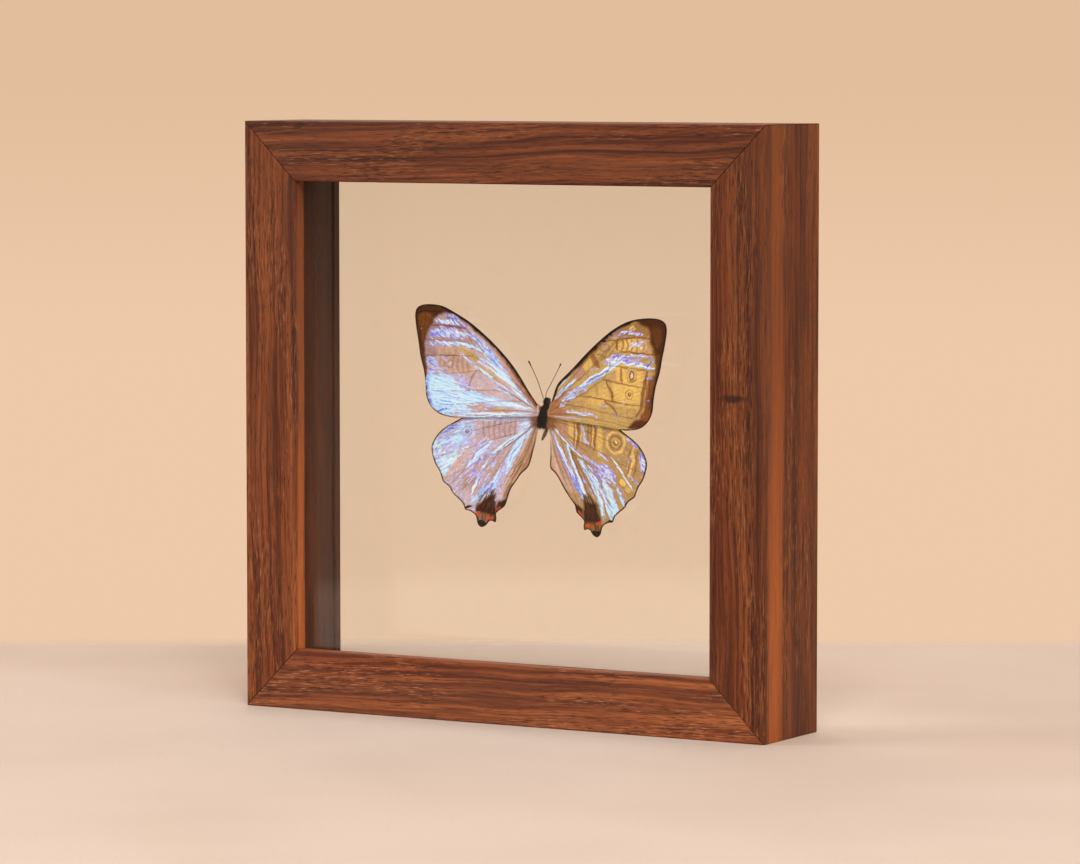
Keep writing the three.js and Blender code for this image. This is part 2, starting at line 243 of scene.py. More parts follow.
# Oiled open-pored walnut with its grain along X or Z. Its shade lays painted light and shade over it.
def walnut(name, settings, shift, upright=False, shade=PLAIN, slant=0.0, streak_and_lit_face=None, knot=None):
    finish = Finish(name)
    axes = finish.node("SeparateXYZ", {0: finish.place()}).outputs
    along, across, depth = (axes[2], axes[0], axes[1]) if upright else (axes[0], axes[2], axes[1])
    leaning = finish.times(along, slant, across)
    grain = finish.node("CombineXYZ", {0: along, 1: leaning, 2: depth}).outputs[0]
    grain = finish.moved(grain, shift)
    drift = finish.times(finish.drawn_noise(grain, (14, 60, 60)), 0.006, -0.003)
    bent = finish.moved(grain, finish.node("CombineXYZ", {1: drift}).outputs[0])

    bands = finish.drawn_noise(bent, (7, 700, 460), 3.0, 0.6)
    broad = finish.drawn_noise(bent, (5, 110, 90))
    streaks = finish.drawn_noise(bent, (50, 1700, 1500), 3.0, 0.6)
    level = finish.times(streaks, 0.50, finish.times(bands, 0.74))
    level = finish.times(broad, 0.38, finish.maths("SUBTRACT", level, 0.31))
    wood = finish.ramp(
        level,
        (0.30, settings.wood_dark),
        (0.44, tone(88, 46, 28)),
        (0.54, settings.wood_mid),
        (0.64, tone(126, 70, 40)),
        (0.80, settings.wood_light),
    )

    # Red and plum casts lie in long patches over the grain.
    cast = finish.drawn_noise(bent, (7, 70, 70), 1.0)
    wood = finish.mix(finish.span(cast, 0.50, 0.68, 0.0, 0.3), wood, tone(150, 82, 46), "OVERLAY")
    wood = finish.mix(finish.span(cast, 0.46, 0.30, 0.0, 0.30), wood, tone(84, 48, 40))

    # Pores are short dark dashes that crowd in places, with small painted glints of light between them.
    pores = finish.drawn_noise(grain, (240, 2900, 2900))
    crowd = finish.span(finish.drawn_noise(grain, (20, 130, 130), 1.0), 0.35, 0.62)
    pore = finish.times(finish.span(pores, 0.56, 0.66), finish.times(crowd, 0.5, 0.5))
    glint = finish.times(finish.span(pores, 0.42, 0.32), finish.span(crowd, 0.3, 1.0, 0.0, 0.45))
    wood = finish.mix(finish.times(pore, 0.8), wood, tone(40, 20, 12))
    wood = finish.mix(glint, wood, tone(172, 116, 82))

    # The band at one depth: a light streak on the right rail, and painted lamp light on the left rail's lip
    # face. Both are painted lighter towards the floor.
    if streak_and_lit_face:
        centre, width = streak_and_lit_face
        wave = finish.drawn_noise(grain, (12, 12, 12))
        glow = finish.mix(finish.span(along, 0.13, 0.02), tone(136, 72, 34), tone(178, 98, 48))
        off = finish.maths("ADD", depth, finish.times(wave, 0.006, -centre - 0.003))
        band = finish.span(finish.maths("ABSOLUTE", off), width, 0.3 * width, 0.0, 0.7)
        band = finish.times(band, finish.span(streaks, 0.3, 0.6, 0.6, 1.0))
        wood = finish.mix(band, wood, glow)
    if knot:
        centre, height, radius = knot
        up = finish.times(finish.maths("SUBTRACT", along, height), KNOT_SQUASH)
        right = finish.maths("SUBTRACT", across, centre)
        reach = finish.maths("ADD", finish.times(up, up), finish.times(right, right))
        rough = finish.drawn_noise(grain, (900, 600, 600))
        reach = finish.times(rough, 0.6 * radius, finish.maths("SQRT", reach))
        dark = finish.span(reach, 1.25 * radius, 0.55 * radius, 0.0, 0.85)
        wood = finish.mix(dark, wood, tone(44, 24, 22))
    # Painted light: the uprights are made lighter towards the floor.
    if upright:
        shade = finish.mix(finish.span(along, 0.15, 0.02), shade, LOW_PAINTED_LIGHT, "MULTIPLY")
    wood = finish.mix(1.0, wood, shade, "MULTIPLY")

    height = finish.maths("SUBTRACT", finish.times(streaks, 0.35), pore)
    return finish.done(finish.surface({
        "Base Color": wood,
        "Roughness": finish.span(streaks, 0.3, 0.7, 0.46, 0.62),
        "Normal": finish.bump(height, 0.5, 0.00012),
        "Specular IOR Level": 0.2,
    }))


class SPECIMEN_OT_rails(bpy.types.Operator):
    """Give the four rails their walnut, with the grain along each"""

    bl_idname = "specimen.rails"
    bl_label = "Walnut Rails"

    def execute(self, context):
        settings = context.scene.specimen_frame
        for place, board in BOARDS.items():
            dress(f"rail_{place}", walnut(f"walnut_{place}", settings, **board))
        return {"FINISHED"}


class SPECIMEN_OT_strips(bpy.types.Operator):
    """Give the strips in the rebate a walnut darkened with painted shade, as they lie in shadow"""

    bl_idname = "specimen.strips"
    bl_label = "Rebate Strips"

    def execute(self, context):
        settings = context.scene.specimen_frame
        # The strips' walnut is darkened with painted shade.
        shade = settings.strip_painted_shade
        level = walnut("strip_wood_level", settings, (4.2, 0.3, 0.9), shade=shade)
        upright = walnut("strip_wood_upright", settings, (5.1, 1.7, 0.4), upright=True, shade=shade)
        for place, material in (("top", level), ("bottom", level), ("left", upright), ("right", upright)):
            dress(f"spacer_{place}", material)
            dress(f"back_stop_{place}", material)
        return {"FINISHED"}


# Clear picture glass that lamps shine through, with the faintest waviness and smudges.
def pane_glass(name, shift, settings):
    finish = Finish(name)
    where = finish.moved(finish.place(), shift)
    smudge = finish.span(finish.noise(where, 240.0, 3.0, 0.6), 0.55, 0.8)
    wave = finish.noise(where, 9.0, 1.0)
    glass = finish.surface({
        "Base Color": finish.mix(smudge, settings.glass_tint, tone(250, 250, 248)),
        "Roughness": 0.0,
        "IOR": 1.45,
        "Transmission Weight": 1.0,
        "Normal": finish.bump(wave, 0.01, 0.0005),
    })
    clear = finish.node("BsdfTransparent", {"Color": settings.glass_tint}).outputs[0]
    shade = finish.node("LightPath").outputs["Is Shadow Ray"]
    return finish.done(finish.blend(shade, glass, clear))


class SPECIMEN_OT_panes(bpy.types.Operator):
    """Give the two panes their clear glass"""

    bl_idname = "specimen.panes"
    bl_label = "Glass Panes"

    def execute(self, context):
        settings = context.scene.specimen_frame
        dress("glass_front", pane_glass("pane_glass_front", (0.2, 0.1, 0.4), settings))
        dress("glass_back", pane_glass("pane_glass_back", (0.7, 0.5, 0.1), settings))
        return {"FINISHED"}


# Where the specimen is in the frame, and how it is set, in millimetres and degrees.
SPECIMEN_AT = (1.6, 9.4, 92.1)
SPECIMEN_TURN = 1.7
DIHEDRAL = 5.5
FOREWING_LIFT = 0.7
BODY_AT = (-0.3, 0, -1.3)
BODY_TURN = 7
SIDES = {"left": -1, "right": 1}

# Lists hold (out from the body's axis, up), in millimetres. The outlines and the veins are those
# of the solids.
FOREWING_BASE = {
    "left": ((2.2, 2.4), (5, 6), (10, 12.9), (15, 18.1), (20, 22.3), (25, 25.9), (30, 28.6)),
    "right": ((2.8, 3.7), (4.2, 7.8), (5.6, 10), (10, 14), (15, 18.9), (20, 23.3), (25, 27), (30, 29.5)),
}
FOREWING_RIM = (
    (35, 30.7), (40, 31), (43, 30.1), (44, 28), (43.6, 24), (42.7, 19.5), (41.9, 15), (40.7, 11),
    (40, 7), (39.6, 3), (38.1, 0), (35.6, -2), (32.3, -2.9), (28, -3.1), (20, -2.5), (10, -1.8),
    (1.9, -1), (1.8, 1.3),
)
FOREWING_VEINS = (
    ((2.4, 1.9), (9, 10.2), (17, 18.2), (24, 23.8)),
    ((2.4, 1.3), (8, 7.2), (15, 13), (20, 17), (23.5, 19), (28, 20.2), (34, 20.4), (42.2, 20)),
    ((17, 14.6), (23, 21), (29, 26.4)),
    ((20.5, 17.4), (27, 24.2), (33.5, 28.6)),
    ((23.5, 19), (28, 23.8), (34.5, 24.9), (43.1, 24.4)),
    ((2.4, 0.8), (9, 4.2), (15, 7.3), (21.5, 11.5), (26, 11), (34.5, 10.2), (39.9, 9.9)),
    ((21.5, 11.5), (22.8, 13.6), (24, 16), (23.5, 19)),
    ((24, 16), (29, 15.9), (35, 15.6), (41.5, 15.2)),
    ((13, 6.2), (21, 5.8), (29, 5.1), (39.3, 4.6)),
    ((7, 3.2), (15, 2.8), (25, 1.5), (37.6, 0.2)),
    ((2.4, 0.1), (12, 0.2), (24, -0.9), (32, -2.2)),
)
HINDWING_RIM = (
    (2.2, -1.2), (9, 1), (16, 1.2), (23, -0.4), (28, -3.2), (30.3, -4.5), (32.8, -6), (35, -7.7),
    (36.8, -10), (37.8, -12.5), (37.4, -15.2), (36.5, -17.6), (35, -19.8), (34.2, -21.6),
    (33.6, -23), (31.5, -24.5), (30.2, -26.4), (28.3, -27.9), (26.7, -29.4), (25.9, -31.1),
    (24.4, -31.4), (22.5, -32.5), (21.9, -34), (21.5, -35.3), (20.3, -36.1), (18.8, -35.4),
    (17.7, -34.1), (16.6, -34), (15.7, -34.3), (15.4, -33), (15.5, -31.5), (13.6, -29.9),
    (12.6, -29), (11.9, -27),
)
HINDWING_BASE = {
    "left": ((10.9, -24), (9.3, -21.6), (7.5, -19), (5, -16.4), (3.7, -12), (2.7, -8), (2.2, -4.6)),
    "right": (
        (10, -25), (7.5, -22), (5.9, -19.7), (4.3, -17.9), (2.5, -16.3), (2.5, -12), (2.2, -8), (2.2, -4.6),
    ),
}
HINDWING_VEINS = (
    ((2.8, -1.6), (12, 0), (22, -1.2), (30, -4.8)),
    ((2.8, -2.1), (13, -3.8), (24, -6.8), (36.3, -10)),
    ((9, -6.6), (19, -9.6), (28, -13.2), (36.9, -15.4)),
    ((2.8, -2.8), (5.5, -5.2), (9.5, -8.8), (14, -11.8), (20, -15), (27, -19), (33.7, -22.1)),
    ((14, -11.8), (19.5, -18), (25, -23.4), (29.9, -26.2)),
    ((9.5, -8.8), (13, -14.5), (18.5, -22.5), (25.4, -30.6)),
    ((5.5, -5.2), (8.5, -13.5), (13, -21.5), (17.5, -28), (20.3, -35.4)),
    ((2.8, -3.8), (5.6, -12), (10, -20.5), (13.5, -27), (16, -33.4)),
    ((2.8, -6), (3.9, -11.5), (7, -17.5), (11.4, -25.2)),
)

# The pearly scales that lie over the ground colours, and the ground colours.
PEARLS = {
    "white": tone(234, 246, 255),
    "ice": tone(208, 238, 255),
    "sky": tone(180, 216, 255),
    "blue": tone(120, 168, 250),
    "deep_blue": tone(76, 108, 226),
    "violet": tone(146, 118, 234),
    "lavender": tone(204, 192, 244),
}
GROUNDS = {
    "cream": tone(236, 222, 190),
    "yellow": tone(238, 204, 118),
    "ochre": tone(204, 170, 104),
    "honey": tone(192, 154, 96),
    "tan": tone(206, 170, 142),
    "pink_tan": tone(217, 186, 176),
    "pink_brown": tone(194, 149, 130),
    "mauve": tone(178, 144, 152),
    "plum": tone(116, 82, 98),
    "brown": tone(160, 106, 60),
    "mid_brown": tone(142, 84, 38),
    "dark_brown": tone(78, 38, 10),
    "umber": tone(56, 20, 5),
    "near_black": tone(18, 8, 3),
    "olive": tone(124, 70, 22),
    "red_brown": tone(96, 40, 20),
    "red": tone(214, 74, 36),
    "rust": tone(176, 96, 38),
}


def smooth(value, low, high):
    share = np.clip((value - low) / (high - low), 0, 1)
    return share * share * (3 - 2 * share)


LATTICE = 128


# Soft noise from 0 to 1 whose blotches have one size.
def blotches(x, z, size, seed):
    lattice = np.random.default_rng(seed).random((LATTICE, LATTICE))
    u, v = x / size + 60, z / size + 60
    column, row = np.floor(u).astype(int), np.floor(v).astype(int)
    across, up = u - column, v - row
    across, up = across * across * (3 - 2 * across), up * up * (3 - 2 * up)

    def at(right, above):
        return lattice[(column + right) % LATTICE, (row + above) % LATTICE]

    low = at(0, 0) * (1 - across) + at(1, 0) * across
    high = at(0, 1) * (1 - across) + at(1, 1) * across
    return low * (1 - up) + high * up


# A smooth line through points, as an array with a few places to each stretch.
def through(points, stretch=4, closed=False):
    spots = [points[-1], *points, points[0], points[1]] if closed else [points[0], *points, points[-1]]
    spots = np.array(spots, float)
    shares = np.arange(stretch)[:, None] / stretch
    line = []
    for before, start, end, after in zip(spots, spots[1:], spots[2:], spots[3:]):
        bend = 2 * before - 5 * start + 4 * end - after
        twist = 3 * (start - end) + after - before
        line.append(start + 0.5 * shares * (end - before + shares * (bend + shares * twist)))
    line = np.concatenate(line)
    return line if closed else np.vstack([line, spots[-1]])


# For each place, how far it is from a line, and how far along the line, from 0 to 1.
def nearest(x, z, line):
    best = np.full(len(x), 1e9)
    along = np.zeros(len(x))
    steps = np.linalg.norm(np.diff(line, axis=0), axis=1)
    passed = np.concatenate([[0], np.cumsum(steps)])
    for start, end, step, before in zip(line, line[1:], steps, passed):
        run = (end - start) / max(step, 1e-9)
        share = np.clip((x - start[0]) * run[0] + (z - start[1]) * run[1], 0, step)
        distance = np.hypot(x - start[0] - share * run[0], z - start[1] - share * run[1])
        closer = distance < best
        best[closer] = distance[closer]
        along[closer] = (before + share[closer]) / passed[-1]
    return best, along


def inside(x, z, ring):
    crossings = np.zeros(len(x), bool)
    for (x0, z0), (x1, z1) in zip(ring, np.roll(ring, -1, axis=0)):
        if z0 != z1:
            straddles = (z0 > z) != (z1 > z)
            crossings ^= straddles & (x < x0 + (z - z0) * (x1 - x0) / (z1 - z0))
    return crossings


# The marks. Each gives its colour's name and a function for how far it covers each place.
def stroke(colour, width, *points, strength=1.0):
    def cover(x, z):
        distance, along = nearest(x, z, through(points))
        half = 0.5 * width * (1 - 0.55 * np.abs(2 * along - 1) ** 3)
        return strength * (1 - smooth(distance, 0.55 * half, 1.1 * half + 0.1))

    return colour, cover


def patch(colour, blur, *points, strength=1.0):
    def cover(x, z):
        ring = through(points, closed=True)
        distance, _ = nearest(x, z, np.vstack([ring, ring[:1]]))
        outwards = np.where(inside(x, z, ring), -distance, distance)
        return strength * (1 - smooth(outwards, -0.7 * blur, 0.6 * blur))

    return colour, cover


def oval(colour, centre, radii, lean=0.0, rim=0.0, strength=1.0):
    def cover(x, z):
        turn = math.radians(lean)
        u = (x - centre[0]) * math.cos(turn) + (z - centre[1]) * math.sin(turn)
        v = (z - centre[1]) * math.cos(turn) - (x - centre[0]) * math.sin(turn)
        outwards = (np.hypot(u / radii[0], v / radii[1]) - 1) * min(radii)
        if rim:
            outwards = np.abs(outwards) - 0.5 * rim
        return strength * (1 - smooth(outwards, -0.16, 0.14))

    return colour, cover


SEED_SHIFT = 50  # moves every place of a wing to positive numbers, as a seed can't be negative


# Random numbers that come out the same each time for a mark that starts at the given place.
def chance_at(place, count, per_right, per_up):
    seed = per_right * (place[0] + SEED_SHIFT) + per_up * (place[1] + SEED_SHIFT) + count
    return np.random.default_rng(int(seed))


# Short strokes of one lean at the given places.
def short_strokes(colour, width, length, lean, places, chance, strength):
    rise = math.radians(lean)
    way = np.array([math.cos(rise), math.sin(rise)])
    marks = []
    for middle in places:
        half = 0.5 * length * chance.uniform(0.6, 1.25) * way
        marks.append(stroke(colour, width * chance.uniform(0.7, 1.25), middle - half, middle + half))

    def cover(x, z):
        return strength * np.max([mark(x, z) for _, mark in marks], axis=0)

    return colour, cover


# A row of short strokes between two places.
def dashes(colour, width, length, lean, start, end, count, strength=1.0):
    chance = chance_at(start, count, 977, 31)
    shares = np.linspace(0, 1, count)[:, None]
    row = np.array(start) * (1 - shares) + np.array(end) * shares
    places = row + chance.normal(0, 0.18, (count, 2))
    return short_strokes(colour, width, length, lean, places, chance, strength)


# Short strokes strewn over the area within a ring of points.
def spray(colour, width, length, lean, count, *points, strength=1.0):
    chance = chance_at(points[0], count, 613, 29)
    ring = through(points, closed=True)
    low, high = ring.min(axis=0), ring.max(axis=0)
    places = low + (high - low) * chance.random((6 * count, 2))
    places = places[inside(places[:, 0], places[:, 1], ring)][:count]
    return short_strokes(colour, width, length, lean, places, chance, strength)


# Thin rays of uneven length that fill the space between two lines, which run from the wing's root
# outwards and have as many points as each other. Reach says which share of the lines they keep to.
def fan(colour, width, count, low, high, reach=(0.0, 1.0), strength=1.0):
    seed = 1000 * width + 7 * count + 50 * (low[0][0] - low[-1][1]) + 900
    chance = np.random.default_rng(int(seed))
    low_line, high_line = through(low), through(high)
    length = reach[1] - reach[0]
    rays = []
    for k in range(count):
        share = (k + chance.uniform(0.1, 0.9)) / count
        line = low_line * (1 - share) + high_line * share
        first = int(len(line) * (reach[0] + length * chance.uniform(0, 0.4)))
        last = int(len(line) * (reach[1] - length * chance.uniform(0, 0.35)))
        part = line[first:max(last, first + 3)]
        rays.append((part, width * chance.uniform(0.6, 1.35), chance.uniform(0.6, 1)))

    def cover(x, z):
        most = np.zeros(len(x))
        for line, ray_width, weight in rays:
            distance, along = nearest(x, z, line)
            half = 0.5 * ray_width * (1 - 0.6 * (2 * along - 1) ** 2)
            most = np.maximum(most, weight * (1 - smooth(distance, 0.4 * half, half + 0.1)))
        return strength * most

    return colour, cover


# Soft upright bands side by side across the wing.
def bars(colour, width, places, top, bottom, strength=1.0):
    middle = 0.5 * (top + bottom)
    return [
        stroke(colour, width, (x, top), (x + 0.35, middle), (x - 0.1, bottom), strength=strength)
        for x in places
    ]


# Ovals about one place, each given as its colour, radii, rim and strength.
def eyespot(centre, lean, *ovals):
    return [oval(colour, centre, radii, lean, rim, strength) for colour, radii, rim, strength in ovals]


# Areas and pairs of lines that more than one mark of a wing fills.
LEFT_FOREWING_FOOT = (
    ((4, -0.9), (14, -1.9), (24, -2.5), (34, -2.7)),
    ((4, -0.2), (14, -0.7), (24, -1), (34, -1.2)),
)
RIGHT_FOREWING_ROOT = ((7, 4), (9, 6.6), (14, 9.4), (15, 8), (11, 5.2))
LEFT_HINDWING_TOP = (
    ((5, -2.4), (14, -3.1), (22, -3.8), (28, -4.8)),
    ((5, -1.2), (14, -1.4), (22, -2.2), (28, -3.6)),
)
LEFT_HINDWING_ROOT = (((3, -3.6), (6, -4.8), (9.6, -6)), ((3, -1.4), (6, -1.6), (9.6, -2.6)))
LEFT_HINDWING_CORNER = ((23.4, -5.4), (27, -4.4), (29.4, -6.4), (28.4, -9.8), (24.4, -9))
LEFT_HINDWING_RIM = ((29, -10.4), (37, -12), (37.2, -17.4), (33, -15), (28, -12))
RIGHT_HINDWING_MIDDLE = ((13, -15), (18, -14), (27, -24), (28.6, -27), (24, -30), (19, -26))


# The left wings catch the light: their white and blue pearly marks follow the scales' pattern, with the
# sheen they catch painted in.
LEFT_FOREWING = (
    # Ground colours, and an eyespot that shows through.
    patch("pink_brown", 1.4, (3, 3.4), (8, 9), (13, 14), (18, 18.4), (21, 20), (14, 12), (6, 4),
          strength=0.8),
    patch("mauve", 2.0, (22, 19.6), (26, 24), (32, 27.6), (38, 27), (40.6, 20), (40, 14), (34, 19),
          strength=0.8),
    patch("plum", 1.4, (28, 23.8), (31, 26.6), (37, 26.6), (40, 21), (40.4, 15), (37.6, 18.6), (36, 23),
          strength=0.3),
    patch("ochre", 0.9, (21.8, 14.6), (24, 17), (28.4, 18.4), (28.6, 16.2), (25, 14.8), strength=0.9),
    patch("tan", 1.2, (28, 15.6), (29, 18.4), (37, 18.4), (38, 16), strength=0.85),
    patch("tan", 1.2, (24.8, 10.6), (25.6, 15.4), (33, 15.8), (36.4, 14), (36.4, 10.6), strength=0.8),
    *bars("mauve", 0.8, (25.6, 27.4, 29.1, 30.7, 33.3, 35), 15.6, 11, strength=0.8),
    *bars("mauve", 0.6, (24.4, 29.6, 31.6, 33.8, 36), 18.2, 15.9, strength=0.55),
    patch("mauve", 1.0, (36.8, 14), (37, 18), (40.8, 18.4), (41, 14.4), strength=0.9),
    stroke("plum", 0.3, (28.6, 16), (35, 15.7), (40.6, 15.3), strength=0.6),
    stroke("mauve", 0.8, (22.8, 11.4), (24.8, 8.6), (25.3, 6), (25, 4.6)),
    oval("cream", (31.8, 13.2), (0.5, 0.8), strength=0.4),
    oval("plum", (31.8, 13.2), (0.9, 1.3), rim=0.3, strength=0.6),

    # Light blue rays from the root to the middle.
    patch("sky", 1.2, (4.4, 2), (9, 7.2), (14, 12.8), (19, 18), (23.6, 22.2), (22.6, 19.4), (18.6, 15),
          (13, 9.4), (8, 4.8)),
    patch("ice", 1.0, (4.6, 2), (10, 7.8), (15, 12.6), (20, 17.4), (18, 14), (12.6, 8.6), (8, 4.6)),
    fan("white", 0.4, 6, ((4, 1.6), (9, 5.4), (14, 9.8), (20, 15.4)),
        ((4, 2), (8.6, 7), (14, 12.6), (21, 19.6))),
    spray("lavender", 0.5, 1.7, 42, 20, (13, 12.4), (17, 16.8), (23, 22.2), (25, 22.4), (21, 18.2),
          (16, 13)),
    spray("sky", 0.5, 1.8, 42, 16, (12, 11.6), (17, 16.8), (23, 22.2), (24.4, 21.6), (21, 18.2), (16, 13)),
    spray("blue", 0.35, 1.6, 42, 18, (13, 12), (17, 16.8), (23, 22.2), (24.4, 21.6), (21, 18.2), (16, 13)),
    spray("white", 0.3, 1.6, 38, 14, (13, 12), (17, 16), (23, 22), (24.4, 21.6), (21, 18.2), (16, 13)),
    stroke("ice", 0.9, (17.4, 15.4), (21.6, 17.8), (25, 18.9), (29, 19.5), (33, 19.5)),
    stroke("white", 0.45, (18.6, 16.8), (23.6, 18.9), (29, 19.9), (34, 19.6)),
    stroke("plum", 0.2, (19, 16), (23, 17.8), (27, 18.7), strength=0.7),
    patch("ochre", 0.5, (11, 6.2), (15, 9.2), (20, 12.6), (22.6, 13.6), (20, 11), (15, 7.8), strength=0.8),
    stroke("ice", 0.6, (8.6, 6.4), (14, 10.8), (18, 13.6), (21.8, 15.4)),
    stroke("white", 0.55, (8.6, 5.6), (14, 9.6), (18, 12.2), (22.4, 14.5)),
    stroke("white", 0.35, (7.6, 4.4), (13, 6.9), (17, 9), (20, 10.8), (23.6, 12.8)),
    stroke("ice", 0.7, (17.4, 9.8), (20.4, 11.4), (23.8, 13.2)),
    stroke("lavender", 0.5, (12, 5.8), (15, 7.4), (18, 9.2)),
    stroke("white", 0.3, (6, 3), (12, 5.2), (17, 6.9)),
    stroke("sky", 0.3, (9, 4), (15, 5.4)),
    stroke("near_black", 0.2, (4.6, 2.4), (8.6, 5.8), (13, 8.9), strength=0.75),
    stroke("near_black", 0.16, (4.4, 1.6), (8.4, 3.8), (12, 5.1), strength=0.75),
    stroke("near_black", 0.14, (5, 3.4), (9, 7.4), (12.4, 10.4), strength=0.5),
    stroke("lavender", 1.0, (23.8, 13), (26, 14.8), (28.4, 16.3)),
    stroke("white", 0.35, (24.4, 13.8), (27.4, 15.9)),

    # Rows of dashes over the outer part.
    patch("mauve", 1.0, (26, 25), (30, 28), (35, 28.8), (38, 27.4), (36, 25.4), (30, 24.8), strength=0.9),
    dashes("violet", 0.4, 1.6, 42, (29.4, 27.4), (36, 27.9), 7),
    dashes("lavender", 0.3, 1.4, 42, (30, 27.6), (36.6, 27.8), 6),
    dashes("deep_blue", 0.5, 1.6, 42, (29, 26.4), (37.8, 27), 8, strength=0.9),
    dashes("violet", 0.5, 1.8, 42, (26.6, 25.2), (38, 26.2), 13),
    dashes("white", 0.3, 2.0, 42, (28, 25.8), (37.6, 26.6), 12),
    stroke("plum", 0.5, (26.5, 24.2), (31, 24.7), (36, 24.8), (39.8, 24.4), strength=0.8),
    dashes("lavender", 0.5, 2.6, 35, (26, 22.6), (39.4, 23), 14),
    dashes("ice", 0.4, 2.2, 35, (26.6, 21.9), (39.6, 22.1), 15),
    dashes("white", 0.32, 2.0, 35, (27.4, 23), (39.2, 23.1), 10),
    dashes("violet", 0.3, 1.8, 35, (28, 21.6), (39.4, 22.2), 8),
    dashes("blue", 0.35, 1.6, 35, (34, 22.6), (39.8, 22.4), 6),
    dashes("violet", 0.45, 1.6, 40, (37.6, 21.4), (40, 23.8), 5),
    dashes("sky", 0.45, 2.4, 24, (29, 19.4), (40, 19.4), 11),
    dashes("white", 0.32, 1.8, 28, (30, 19.9), (40, 18.8), 8),
    spray("lavender", 0.35, 1.6, 32, 16, (23, 20.8), (26, 24.6), (38, 24.6), (40, 19.6), (30, 20.4)),
    dashes("violet", 0.45, 1.6, 28, (34, 18.4), (40.8, 19.8), 7),
    stroke("mauve", 0.4, (26.6, 20.9), (33, 21), (40, 20.7), strength=0.7),
    dashes("white", 0.32, 4.2, 16, (37, 11.4), (38, 14.6), 5),
    dashes("violet", 0.35, 3.6, 16, (38, 11), (38.8, 14.4), 5),
    dashes("sky", 0.35, 4.0, 16, (36.2, 12), (37.6, 14.2), 3),
    spray("lavender", 0.4, 1.6, 16, 14, (32, 10.8), (32, 14.6), (36.6, 14.6), (36.6, 10.8), strength=0.8),

    # The light blue area below, down to the foot.
    patch("lavender", 3.0, (25, 3.6), (26.2, 8.4), (32, 10), (38, 9.6), (38, 4), strength=0.75),
    patch("sky", 2.0, (28.4, 3), (30, 8.6), (35, 9.8), (40, 9.4), (39.8, 3), (38, -0.8), (33, -2.4),
          (24, -1.6), (23, 2)),
    patch("ice", 2.0, (22, 3.6), (29, 5.4), (36.4, 8), (37.4, 3), (35.6, -0.4), (29, -1.6), (24, 0.2)),
    patch("blue", 1.2, (38.8, 8), (40.4, 8.4), (40, 2.6), (38, -0.8), (37.2, 0.4), (38.6, 3.4),
          strength=0.6),
    patch("deep_blue", 0.8, (38.5, 2.8), (39.8, 2.8), (38.6, 0.2), (37.7, 0.4), strength=0.5),
    fan("white", 0.5, 9, ((12, 1.6), (20, 2), (28, 0.2), (37, -0.6)),
        ((12, 2.6), (20, 3.8), (28, 6), (38, 8.6))),
    fan("blue", 0.3, 6, ((20, 1), (26, -0.6), (32, -1.4), (37, -0.8)),
        ((20, 4), (26, 5), (32, 7), (39, 8.6)), (0.4, 1.0), strength=0.7),
    spray("lavender", 0.6, 1.6, 80, 24, (26, 4.6), (27, 8.4), (36, 9.2), (38, 5), (30, 4.6), strength=0.8),
    spray("pink_tan", 0.4, 1.2, 80, 5, (25.6, 4.8), (26, 8.4), (31, 9), (31, 5), strength=0.8),
    patch("ice", 1.6, (28, 4.4), (29, 8), (34, 9.2), (38, 8.8), (38, 4), strength=0.55),
    dashes("deep_blue", 0.45, 1.9, -35, (33.2, -1), (35.8, -1.5), 4, strength=0.9),
    stroke("near_black", 0.2, (33, -0.6), (35.4, -2.1), strength=0.6),
    patch("ice", 0.9, (4.4, 0.9), (10, 2.5), (18, 4), (25.6, 5.2), (27, 2), (18, 1.5), (10, 1)),
    fan("sky", 0.35, 5, ((4, 0.8), (12, 1), (20, 1.5), (27, 1)), ((4, 1.4), (12, 2.8), (20, 4.2), (27, 5))),
    fan("white", 0.4, 4, ((4, 0.9), (12, 1.4), (20, 1.9), (27, 2)),
        ((4, 1.3), (12, 2.5), (20, 3.8), (27, 4.6))),
    patch("tan", 0.8, (11, 0.5), (18, 1.1), (25, 0.9), (25, -0.3), (18, -0.7), (11, -0.3), strength=0.85),
    spray("lavender", 0.35, 2.2, 0, 8, (11, 0.5), (18, 1.1), (26, 0.9), (26, -0.3), (18, -0.7), (11, -0.3)),
    fan("ice", 0.45, 5, *LEFT_FOREWING_FOOT),
    fan("white", 0.3, 4, *LEFT_FOREWING_FOOT),
    stroke("plum", 0.2, (7, -1.1), (16, -1.6), (27, -2.1), strength=0.6),

    # The dark tip and edges.
    patch("ochre", 0.9, (33.6, 26.6), (35, 28), (37.4, 27.6), (37.4, 26), strength=0.5),
    patch("dark_brown", 0.9, (29, 30.4), (31, 28.9), (34.6, 28.3), (37, 27), (38.1, 25), (39.2, 22),
          (40.3, 19), (40.5, 15), (40.2, 11), (39.8, 9.2), (42, 8), (45, 20), (46, 30), (40, 33)),
    patch("mauve", 0.9, (38.8, 16), (38.6, 21), (38, 25), (39.6, 23), (40.8, 19), (40.6, 15), strength=0.5),
    patch("olive", 0.9, (38.4, 28), (42.6, 28), (43, 25), (42.2, 21), (41.2, 19), (40.2, 22)),
    patch("olive", 0.5, (41, 17), (42, 17.2), (41.4, 13), (40.8, 13), strength=0.8),
    stroke("near_black", 0.35, (35, 29), (38, 28.8), (41, 28.8), (43.8, 28.2), strength=0.6),
    *bars("dark_brown", 0.3, (40.4, 41.7, 42.8), 27.6, 20, strength=0.5),
    oval("cream", (42, 23.5), (0.18, 0.18), strength=0.7),
    oval("cream", (42.6, 22.8), (0.16, 0.16), strength=0.6),
    stroke("dark_brown", 0.6, (40.2, 9), (39.8, 6), (39.5, 3), (38, 0), (35.6, -2), (32.3, -2.9),
           (29, -3.1)),
